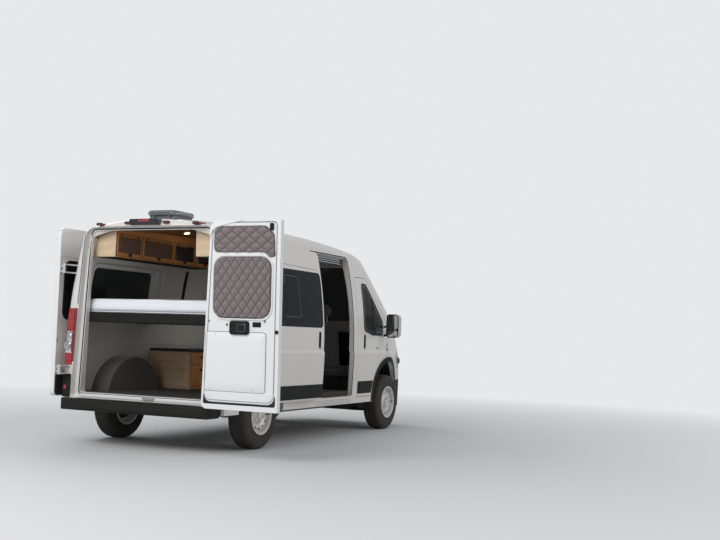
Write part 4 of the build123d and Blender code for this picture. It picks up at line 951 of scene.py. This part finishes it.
def rear_end_details():
    """Seals, sill, bumper corners and treads round the rear opening."""
    skin = Surface(["rear_frame"], *FROM_BEHIND)
    opening = rounded((-0.806, 0.553, 0.03), (0.806, 0.553, 0.03),
                      (0.776, 2.341, 0.055), (-0.776, 2.341, 0.055))
    border("opening_seal", grown(opening, 0.017), skin, RUBBER, 0.015, 0.002, 0.03)
    for side, tag in SIDES:
        # Two of the flutes take the sky-lit copy of the body paint: painted light
        flutes = ((0.856, 0.822, 0.004, RUBBER, 0.001), (0.832, 0.788, 0.007, SKY_LIT_PAINT, -0.004),
                  (0.874, 0.838, 0.007, SKY_LIT_PAINT, 0.001))
        for i, (low, high, radius, finish, lift) in enumerate(flutes):
            flute = [Vector((side * (low + (high - low) * k / 20), 1.52 + 0.76 * k / 20)) for k in range(21)]
            bead(f"pillar_flute_{tag}_{i}", flute, skin, finish, radius, lift, False, slot="body_paint")
        corner = Bridged(Surface(["rear_frame", f"side_panel_{tag}", "rear_lamps"], *FROM_BEHIND), 0.012)
        bumper = mirrored(oblong(0.879, 0.502, 0.993, 0.752, 0.015), side)
        laid(f"bumper_corner_{tag}", bumper, corner, DARK, 0.011, 0.005, 0.006, 4)
        patch = mirrored(oblong(0.928, 0.585, 0.964, 0.630, 0.006), side)
        laid(f"corner_reflector_{tag}", patch, corner, RED, 0.017, sink=0.0)
        wing = rounded((0.865, 0.888, 0.006), (0.890, 0.888, 0.006),
                       (0.890, 1.472, 0.008), (0.851, 1.472, 0.008))
        laid(f"lamp_wing_{tag}", mirrored(wing, side), corner, DEEP_RED, 0.008, sink=0.002)
    # Sill plate in the sky-lit copy of the body paint: painted light
    sill = rounded((-0.79, 0.512, 0.004), (0.79, 0.512, 0.004), (0.79, 0.545, 0.004), (-0.79, 0.545, 0.004))
    laid("rear_sill_plate", sill, skin, SKY_LIT_PAINT, 0.005)
    striker = rounded((-0.215, 0.548, 0.004), (-0.175, 0.506, 0.012),
                      (-0.06, 0.506, 0.012), (-0.018, 0.548, 0.004))
    laid("sill_striker", striker, skin, STEEL, 0.0055)
    for i in range(5):
        x = -0.985 + 0.012 * i
        rounded_box(f"bumper_tread_{i}", (x, -0.72, 0.493), (x + 0.005, 0.72, 0.4985), DARK, 0.0015)


def rear_lamp_details():
    """Faces of the tail lamps, the lamps over the doors and the camera."""
    skin = Surface(["rear_lamps"], *FROM_BEHIND)
    header = Surface(["rear_lamps", "rear_frame", "roof_panel"], *FROM_BEHIND)
    bulb = [(0.034, -0.004), (0.034, 0.003), (0.030, 0.006), (0.024, -0.001), (0.008, 0.004)]
    ring = [(0.050, -0.004), (0.050, 0.006), (0.045, 0.009), (0.041, 0.004), (0.030, 0.002), (0.012, 0.004)]
    for side, tag in SIDES:
        for part, z0, z1 in (("low", 0.890, 0.975), ("high", 1.224, 1.470)):
            face = mirrored(oblong(0.893, z0, 0.984, z1, 0.008), side)
            laid(f"lamp_lens_{tag}_{part}", face, skin, RED, 0.010, 0.004, 0.002, 4)
        stud(f"turn_lamp_{tag}", side * 0.950, 1.160, skin, BOWL, bulb, 32)
        stud(f"reversing_lamp_{tag}", side * 0.962, 1.062, skin, BOWL, ring, 32)
        strip = mirrored(oblong(0.889, 0.99, 0.908, 1.205, 0.006), side)
        laid(f"lamp_strip_{tag}", strip, skin, DEEP_RED, 0.004, 0.002)
        for i, z in enumerate((0.979, 1.219)):
            split = mirrored(line((0.888, z), (0.985, z)), side)
            bead(f"lamp_split_{tag}_{i}", split, skin, RUBBER, 0.0035, cyclic=False)
        for i, (y, z) in enumerate(((0.625, 2.396), (0.25, 2.408))):
            bezel = mirrored(oblong(y - 0.036, z - 0.0125, y + 0.036, z + 0.0125, 0.011), side)
            bead(f"marker_rim_{tag}_{i}", bezel, header, DARK, 0.004, longest=0.02)
    laid("high_stop_lamp", oblong(-0.045, 2.414, 0.095, 2.436, 0.006), skin, RED, 0.004, 0.002)
    eye = [(0.012, -0.002), (0.012, 0.006), (0.009, 0.010), (0.004, 0.008)]
    stud("rear_camera", -0.115, 2.408, skin, GLOSS_BLACK, eye)
    housing = rounded((-0.16, 2.381, 0.02), (0.20, 2.381, 0.02), (0.196, 2.443, 0.02), (-0.156, 2.443, 0.02))
    bead("stop_housing_edge", housing, skin, GLOSS_BLACK, 0.003, longest=0.03)
    repaint("rear_lamps", WHITE_LENS, lambda p, n: 0.98 < p.z < 1.2185)
    repaint("rear_lamps", GLOSS_BLACK, lambda p, n: p.z > 2.0 and -0.2 < p.y < 0.222)
    repaint("rear_lamps", DEEP_RED, lambda p, n: p.z > 2.0 and not -0.2 < p.y < 0.222)


# Cabinets, bed and the rest of the living space


def cabinets():
    """Flap doors, latches and hinges of the wall cabinets."""
    top = 2.292
    knob = [(0.010, -0.002), (0.010, 0.010), (0.017, 0.013), (0.017, 0.026), (0.012, 0.030), (0.004, 0.031)]
    for side, tag, end, spans in (
        (1, "left", 1.28, ((-0.665, -0.243), (-0.189, 0.377), (0.425, 0.829), (0.911, 1.255))),
        (-1, "right", 0.88, ((-0.665, -0.243), (-0.189, 0.377), (0.425, 0.855))),
    ):
        front = Plate(1, side * 0.576, (0, -side, 0), -side * 0.0225)
        for i, (x0, x1) in enumerate(spans):
            inside = oblong(x0, 2.100, x1, top, 0.022)
            board = BROWN_PANEL if i < 2 else SMOKED
            laid(f"flap_panel_{tag}_{i}", inside, front, board, 0.0035, 0.002, 0.002)
            bead(f"flap_edge_{tag}_{i}", inside, front, ORANGE_WOOD, 0.005, 0.001)
            rim = oblong(x0 - 0.024, 2.068, x1 + 0.024, top + 0.022, 0.008)
            bead(f"flap_gap_{tag}_{i}", rim, front, RUBBER, 0.0022)
            stud(f"flap_latch_{tag}_{i}", (x0 + x1) / 2, 2.088, front, GLOSS_BLACK, knob)
            for j, x in enumerate((x0 + 0.06, x1 - 0.06)):
                hinge = oblong(x - 0.012, top - 0.004, x + 0.012, top + 0.018, 0.003)
                laid(f"flap_hinge_{tag}_{i}_{j}", hinge, front, GLOSS_BLACK, 0.006, sink=0.002)
        rail = line((-0.69, 2.060), (end, 2.060))
        bead(f"cabinet_rail_{tag}", rail, front, ORANGE_WOOD, 0.006, cyclic=False)
    repaint("overhead_cabinets", CREAM_PLY, lambda p, n: n.x < -0.9 and p.x < -0.66)
    repaint("overhead_cabinets", DARK, lambda p, n: n.z < -0.9 and p.z < 2.06)
    repaint("interior_lining", CEILING_WOOD, lambda p, n: p.z > 2.25 and n.z < -0.5)
    repaint("galley_cabinet", ORANGE_WOOD, lambda p, n: n.y < -0.9)


def living_space():
    """Galley fronts, ceiling lamps, rails and boards inside the van."""
    front = Plate(1, 0.380, (0, -1, 0))
    knob = [(0.010, 0.010), (0.010, 0.020), (0.016, 0.022), (0.016, 0.032), (0.010, 0.035)]
    for i, (x0, x1) in enumerate(((0.66, 1.05), (1.07, 1.46), (1.48, 1.88))):
        for j, (z0, z1) in enumerate(((0.59, 0.84), (0.855, 0.995))):
            laid(f"drawer_{i}_{j}", oblong(x0, z0, x1, z1, 0.012), front, ORANGE_WOOD, 0.012, 0.004, 0.002)
            stud(f"drawer_knob_{i}_{j}", (x0 + x1) / 2, z1 - 0.045, front, GLOSS_BLACK, knob)
    end = oblong(0.395, 0.575, 0.93, 1.000, 0.006)
    laid("galley_end", end, Plate(0, 0.640, (-1, 0, 0)), PALE_PLY, 0.010, sink=0.002)
    lip = line((0.356, 1.025), (0.94, 1.025))
    bead("worktop_lip", lip, Plate(0, 0.615, (-1, 0, 0)), WORKTOP, 0.011, cyclic=False)
    ceiling = Surface(["interior_lining"], *FROM_BELOW)
    lamp = [(0.033, -0.001), (0.033, 0.004), (0.028, 0.006), (0.026, 0.004)]
    for i, (x, y) in enumerate(((0.42, 0.36), (1.10, 0.20), (1.10, -0.20), (0.42, -0.30))):
        stud(f"ceiling_lamp_{i}", x, y, ceiling, GLOW, lamp, 28)
    rail = oblong(-0.90, 1.334, 0.90, 1.372, 0.008)
    laid("bed_rail", rail, Plate(0, -0.755, (-1, 0, 0)), BED_BLACK, 0.004, sink=0.002)
    wall = Surface(["interior_lining"], *FROM_WITHIN)
    bead("window_trim_left", oblong(-0.635, 1.362, 0.595, 1.985, 0.075), wall, LINING, 0.012, 0.004)
    for i, (x, finish) in enumerate(((0.72, LINING), (1.18, DARK))):
        batten = oblong(x, 1.45, x + 0.05, 2.02, 0.008)
        laid(f"wall_batten_{i}", batten, wall, finish, 0.010, slot="dark_plastic")


# Soft pieces: bedding and seats


def stuffed(name, low, high, radius, finish, voxel=0.016, cap=0.014, tilt=0.0, shape=None, flat_below=None):
    """Padded block: a rounded box, remeshed, puffed by a short cloth simulation up to a cap, and shaped."""
    bm, _, matrix = block(low, high)
    bmesh.ops.bevel(bm, geom=bm.edges[:], offset=radius, segments=4, affect="EDGES")
    bmesh.ops.triangulate(bm, faces=bm.faces[:])
    bmesh.ops.transform(bm, matrix=matrix @ Matrix.Rotation(tilt, 4, "Y"), verts=bm.verts)
    solid = linked(name + "_block", mesh_of(bm, name))
    remesh = solid.modifiers.new("remesh", "REMESH")
    remesh.mode = "VOXEL"
    remesh.voxel_size = voxel
    mesh = evaluated(solid)
    rest = [vert.co.copy() for vert in mesh.vertices]
    places = puffed(name, mesh)
    for vert, start, end in zip(mesh.vertices, rest, places):
        move = end - start
        if move.length > cap:
            move *= cap / move.length
        if flat_below is not None and start.z < flat_below:
            move.z = max(0.0, move.z * 0.1)
        vert.co = shape(start + move) if shape else start + move
    made = put(name, mesh, finish, smooth=180)
    return made


def puffed(name, mesh):
    """Places of a mesh's vertices after a short cloth simulation under pressure."""
    trial = linked(name + "_trial", mesh)
    puff = trial.modifiers.new("puff", "CLOTH")
    puff.settings.quality = 4
    puff.settings.use_pressure = True
    puff.settings.uniform_pressure_force = PUFF_PRESSURE
    puff.settings.effector_weights.gravity = 0
    for number in range(1, PUFF_FRAMES + 1):
        bpy.context.scene.frame_set(number)
    result = evaluated(trial)
    places = [vert.co.copy() for vert in result.vertices]
    bpy.data.meshes.remove(result)
    bpy.context.scene.frame_set(1)
    return places


def creased(place):
    """Soft wrinkles of a fitted sheet, deeper near the edge."""
    height = max(0.0, min(1.0, (place.z - SHEET_EDGE) / 0.10))
    local = place - AXLE
    wave = noise.noise(Vector((local.x * 3.1, local.y * 2.3, 0.4)))
    fine = noise.noise(Vector((local.x * 11.0, local.y * 5.0 + 3.0, local.z * 9)))
    return place + Vector((0, 0, height * (0.006 * wave + 0.0025 * fine))) + Vector((0.003 * fine, 0, 0))


def bedding():
    low, high = (-0.735, -0.895, 1.4315), (0.595, 0.895, 1.585)
    sheet = stuffed("mattress_sheet", low, high, 0.032, SHEET, 0.018, 0.012, 0.0, creased, SHEET_EDGE)
    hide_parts("mattress")
    welt = line((-0.88, 1.447), (0.88, 1.447))
    bead("mattress_welt", welt, Plate(0, -0.741, (-1, 0, 0)), SHEET, 0.004, cyclic=False)


def seats():
    """Cab seats: pedestals, stuffed cushions, backrests and headrests."""
    for side, tag in SIDES:
        y = side * SEAT_Y
        low, high = (2.50, y - 0.232, 0.728), (2.98, y + 0.232, 0.852)
        seat = stuffed(f"seat_cushion_{tag}", low, high, 0.045, SEAT)
        if side > 0:
            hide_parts("cab_seats")
        low, high = (2.46, y - 0.222, 0.80), (2.57, y + 0.222, 1.48)
        stuffed(f"seat_back_{tag}", low, high, 0.045, SEAT, tilt=-0.155)
        low, high = (2.415, y - 0.122, 1.50), (2.495, y + 0.122, 1.675)
        stuffed(f"seat_head_{tag}", low, high, 0.035, SEAT, 0.014, 0.010)
        rounded_box(f"seat_pedestal_{tag}", (2.53, y - 0.20, 0.4505), (2.89, y + 0.20, 0.735), DARK, 0.02, 3)
        bm = bmesh.new()
        for offset in (-0.05, 0.05):
            foot, head = at(2.46, y + offset, 1.42), at(2.452, y + offset, 1.54)
            lathe(bm, [(0.007, 0), (0.007, (head - foot).length)], foot, head - foot, 12)
        put(f"seat_posts_{tag}", mesh_of(bm, f"seat_posts_{tag}"), STEEL, smooth=35)


# Side, roof, front and wheels


def side_details():
    """Seals, rails, window frames and steps along the sides."""
    right = Surface(["side_panel_right", "cab_front", "roof_panel"], *FROM_RIGHT)
    doorway = divided(oblong(0.968, 0.483, 2.285, 2.282, 0.065), 0.04)
    shown = [p for p in doorway if p.x > 1.22 and p.y > 0.5]
    bead("doorway_seal", shown, right, RUBBER, 0.008, -0.002, False)
    # Dark rubber plate behind the rails: painted shade in the track's channel
    rounded_box("track_shade_plate", (1.06, -0.815, 2.180), (2.262, -0.808, 2.272), RUBBER, 0.002)
    for i, (y, z) in enumerate(((-0.826, 2.190), (-0.832, 2.214), (-0.838, 2.238))):
        low, high = (1.06, y - 0.004, z - 0.0045), (2.20 - 0.03 * i, y + 0.004, z + 0.0045)
        rounded_box(f"track_rail_{i}", low, high, BRIGHT, 0.002)
    slid = Surface(["sliding_door", "body_glass"], *FROM_RIGHT)
    ridge = divided(line((-0.28, 2.078), (1.235, 2.040)), 0.05)[:-31]
    bead("side_ridge", ridge, slid, DARK_GREY, 0.003, -0.001, False)
    bead("slide_window_edge", oblong(0.045, 1.357, 1.246, 2.004, 0.05), slid, RUBBER, 0.0045, longest=0.04)
    sash = line((0.33, 1.462), (0.66, 1.462), (0.686, 1.49), (0.66, 1.90), (0.64, 1.93), (0.33, 1.93))
    bead("slide_window_sash", divided(sash, 0.05)[:-7], slid, DARK_GREY, 0.0035, cyclic=False)
    repaint("sliding_door", DARK, whole=True,
            wanted=lambda p, n: 1.138 <= p.x <= 1.212 and p.y <= -1.02 and 1.09 <= p.z <= 1.31)
    left = Surface(["side_panel_left", "body_glass"], *FROM_LEFT)
    bead("side_window_edge", oblong(-0.64, 1.352, 0.60, 1.99, 0.07), left, RUBBER, 0.0045)
    bead("fuel_flap", oblong(1.62, 0.83, 1.80, 1.01, 0.03), left, RUBBER, 0.0025, -0.001)
    for side, tag in SIDES:
        cab_door_details(side, tag)
    for i in range(4):
        y = -0.955 - 0.013 * i
        rounded_box(f"step_rib_{i}", (1.30, y - 0.003, 0.4935), (2.24, y + 0.003, 0.4985), STEEL, 0.0012)
    for i, z in enumerate((0.415, 0.437, 0.459)):
        laid(f"step_riser_{i}", oblong(1.30, z, 2.24, z + 0.007, 0.003), right, STEEL, 0.004, 0.0015, 0.002)


def cab_door_details(side, tag):
    """Window seal and bar, strip, side lamp, handle recess and mirror of one cab door."""
    node = f"cab_door_{tag}"
    body = f"cab_door_body_{tag}"
    repaint(node, DARK, whole=True,
            wanted=lambda p, n: 2.60 < p.x < 2.68 and 1.09 < p.z < 1.31 and side * p.y > 0.9)
    surface = Surface([node, f"cab_glass_{tag}"], *(FROM_LEFT if side > 0 else FROM_RIGHT))
    window = rounded((2.625, 1.345, 0.06), (2.88, 1.29, 0.2), (3.235, 1.29, 0.06), (3.235, 1.48, 0.06),
                     (2.765, 1.965, 0.06), (2.625, 1.965, 0.045))
    bead(f"cab_window_seal_{tag}", window, surface, RUBBER, 0.007, body=body)
    border(f"cab_window_border_{tag}", window, surface, FRIT, 0.052, body=body)
    divider = divided(line((2.985, 1.295), (2.955, 1.50), (2.935, 1.775)), 0.05)[:-9]
    bead(f"cab_window_bar_{tag}", divider, surface, RUBBER, 0.009, cyclic=False, body=body)
    strip = rounded((2.45, 0.52, 0.006), (2.875, 0.52, 0.006), (2.93, 0.68, 0.006), (2.45, 0.68, 0.006))
    laid(f"cab_door_strip_{tag}", strip, surface, DARK, 0.007, sink=0.003, body=body)
    repaint(f"mirror_{tag}", CHROME, lambda p, n: side * p.y > 1.09 and p.x > 3.1275)
    repaint(f"mirror_{tag}", MIRROR, lambda p, n: n.x < -0.9 and 3.1245 < p.x < 3.1275)
    repaint(f"side_panel_{tag}", LINING, lambda p, n: side * n.y < -0.5 and side * p.y < 0.97)
    lamp = oblong(3.02, 1.10, 3.09, 1.125, 0.01)
    laid(f"side_repeater_{tag}", lamp, surface, AMBER, 0.006, sink=0.003, body=body)


def roof_details():
    """Louvres and rim of the roof fan."""
    lid = "fan_lid_body"
    low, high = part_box("fan_lid")
    half = (high.y - low.y) / 2
    x0, x1 = low.x - AXLE.x, high.x - AXLE.x
    rear = Plate(0, x0, (-1, 0, 0))
    for i in range(7):
        y = -0.105 + 0.035 * i
        slit = oblong(y - 0.011, low.z + 0.012, y + 0.011, low.z + 0.024, 0.004)
        laid(f"fan_slit_{i}", slit, rear, GLOSS_BLACK, 0.0012, 0.0005, 0.001, body=lid)
    arc = []
    for k in range(13):
        x = x0 + 0.04 + (x1 - x0 - 0.08) * k / 12
        arc.append(Vector((x, low.z + 0.010 + 0.020 * math.sin(math.pi * k / 12))))
    for side, tag in reversed(SIDES):
        rib = Plate(1, side * half, (0, side, 0))
        bead(f"fan_rib_{tag}", arc, rib, FAN_WHITE, 0.003, cyclic=False, body=lid)
    low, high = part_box("fan_base")
    base = Plate(0, low.x - AXLE.x, (-1, 0, 0))
    rim = line((-0.15, high.z - 0.012), (0.15, high.z - 0.012))
    bead("fan_base_rim", rim, base, FAN_WHITE, 0.004, cyclic=False)


def front_details():
    """Lamp bowls, wipers, blank plate and seals at the nose."""
    nose = Surface(["front_bumper", "grille", "headlamps", "cab_front", "bonnet"], *FROM_AHEAD)
    screen = Surface(["cab_front", "body_glass"], *FROM_AHEAD)
    edge = rounded((-0.84, 1.43, 0.09), (0.84, 1.43, 0.09), (0.70, 2.235, 0.09), (-0.70, 2.235, 0.09))
    bead("screen_seal", edge, screen, RUBBER, 0.008)
    border("screen_border", edge, screen, FRIT, 0.05)
    pivot = [(0.018, -0.010), (0.018, 0.018), (0.012, 0.026), (0.004, 0.028)]
    for i, (y0, y1) in enumerate(((0.60, 0.02), (-0.02, -0.62))):
        arm = divided(line((y0, 1.415), ((y0 + y1) / 2, 1.455), (y1, 1.475)), 0.05)[:-11]
        bead(f"wiper_{i}", arm, screen, GLOSS_BLACK, 0.009, 0.012, False)
        stud(f"wiper_pivot_{i}", y0, 1.415, screen, GLOSS_BLACK, pivot)
    laid("front_plate_blank", oblong(-0.26, 0.575, 0.26, 0.685, 0.01), nose, WHITE_PLATE, 0.012)
    shape = [(1.0, -0.004), (1.0, 0.003), (0.9, 0.005), (0.7, 0.002), (0.2, 0.004)]
    fog = [(0.045, -0.004), (0.045, 0.006), (0.037, 0.010), (0.030, 0.004), (0.008, 0.006)]
    for side, tag in SIDES:
        for i, (y, z, radius) in enumerate(((0.80, 0.935, 0.058), (0.895, 0.985, 0.040))):
            bowl = [(radius * share, along) for share, along in shape]
            stud(f"lamp_bowl_{tag}_{i}", side * y, z, nose, BOWL, bowl, 32)
        stud(f"fog_lamp_{tag}", side * 0.70, 0.47, nose, WHITE_LENS, fog, 32)
    crease = divided(line((-0.44, 1.325), (-0.52, 1.03)), 0.04)[:8]
    hood = Surface(["bonnet"], *FROM_AHEAD)
    for side, tag in SIDES:
        path = mirrored(crease, side)
        bead(f"bonnet_crease_{tag}", path, hood, PAINT, 0.005, -0.001, False, body="bonnet_body")


def tyre(node, body):
    """Tyre with shoulder blocks, grooves and sipes in place of its plain solid."""
    low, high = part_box(node)
    centre = (low + high) / 2
    bm = bmesh.new()
    rings = []
    profile = TYRE_PROFILE + [(r, -y) for r, y in reversed(TYRE_PROFILE)]
    for i in range(TYRE_STEPS):
        angle = 2 * math.pi * i / TYRE_STEPS
        ring = []
        for radius, y in profile:
            inside = abs(y)
            shoulder = radius > 0.355 and inside > 0.062
            crown = radius > 0.369 and inside < 0.06
            if shoulder and i % 5 == 0:
                radius -= 0.0075 if inside < 0.09 else 0.004
            if crown and (i + (2 if inside < 0.03 else 0)) % 4 == 0:
                radius -= 0.0045
            spoke = Vector((radius * math.sin(angle), y, radius * math.cos(angle)))
            ring.append(bm.verts.new(centre + spoke))
        rings.append(ring)
    join_rows(bm, rings, around=True)
    made = put(node + "_tread", mesh_of(bm, node), TYRE, body, 28)
    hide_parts(node)


def wheel_details(node, body, side):
    """Centre cap, wheel nuts, valve and rim edge on the outer face of a wheel."""
    low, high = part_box(node)
    centre = (low + high) / 2
    out = Vector((0, side, 0))
    face = centre + out * 0.080
    cap = [(0.046, -0.012), (0.046, 0.010), (0.043, 0.016), (0.034, 0.020), (0.030, 0.018), (0.010, 0.019)]
    turned(node + "_cap", face, out, RIM, cap, 36, body)
    bm = bmesh.new()
    for i in range(5):
        angle = math.radians(72 * i + 54)
        place = face + Vector((0.066 * math.cos(angle), 0, 0.066 * math.sin(angle)))
        lathe(bm, [(0.013, -0.006), (0.0125, 0.003), (0.0105, 0.005)], place, out, 18)
        lathe(bm, [(0.0105, 0.004), (0.0105, 0.019), (0.0085, 0.0215)], place, out, 6)
    put(node + "_nuts", mesh_of(bm, node + "_nuts"), CHROME, body, 30)
    stem = centre + Vector((0.176, 0, 0)) + out * 0.085
    valve = [(0.004, -0.004), (0.004, 0.016), (0.005, 0.018), (0.005, 0.026)]
    turned(node + "_valve", stem, out, RUBBER, valve, 12, body)
    bm = bmesh.new()
    middle = centre + out * 0.1140
    lip = [(0.2165, 0.0), (0.2165, 0.002), (0.2125, 0.004), (0.2085, 0.002), (0.2085, 0.0)]
    rings = [[bm.verts.new(middle + out * along + spoke * radius) for radius, along in lip]
             for spoke in spokes(out, 72)]
    join_rows(bm, rings, around=True)
    put(node + "_lip", mesh_of(bm, node + "_lip"), RIM, body, 35)


def wheels():
    for axle in ("front", "rear"):
        for side, tag in SIDES:
            body = f"wheel_{axle}_{tag}"
            tyre(f"tyre_{axle}_{tag}", body)
            wheel_details(f"rim_{axle}_{tag}", body, side)


def cab_details():
    """Instrument hood, radio, air vents and floor mats in the cab."""
    rounded_box("instrument_hood", (3.14, 0.30, 1.245), (3.36, 0.66, 1.318), DARK, 0.025, 3)
    rounded_box("radio_face", (3.082, -0.13, 1.02), (3.098, 0.13, 1.16), GLOSS_BLACK, 0.006)
    for side, tag in SIDES:
        y = side * SEAT_Y
        rounded_box(f"cab_mat_{tag}", (2.93, y - 0.24, 0.4495), (3.0, y + 0.24, 0.458), FLOOR_MAT, 0.003)
        for i, vent in enumerate((side * 0.76, side * 0.24)):
            low, high = (3.118, vent - 0.06, 1.10), (3.134, vent + 0.06, 1.17)
            rounded_box(f"dash_vent_{tag}_{i}", low, high, GLOSS_BLACK, 0.012, 3)


bpy.context.scene.view_settings.view_transform = "Standard"
camera()
sky()
for light in LIGHTS:
    area_light(*light)
ground()
for door_side, door_tag in SIDES:
    rear_door_details(door_side, door_tag)
rear_end_details()
rear_lamp_details()
cabinets()
living_space()
bedding()
seats()
side_details()
roof_details()
front_details()
wheels()
cab_details()
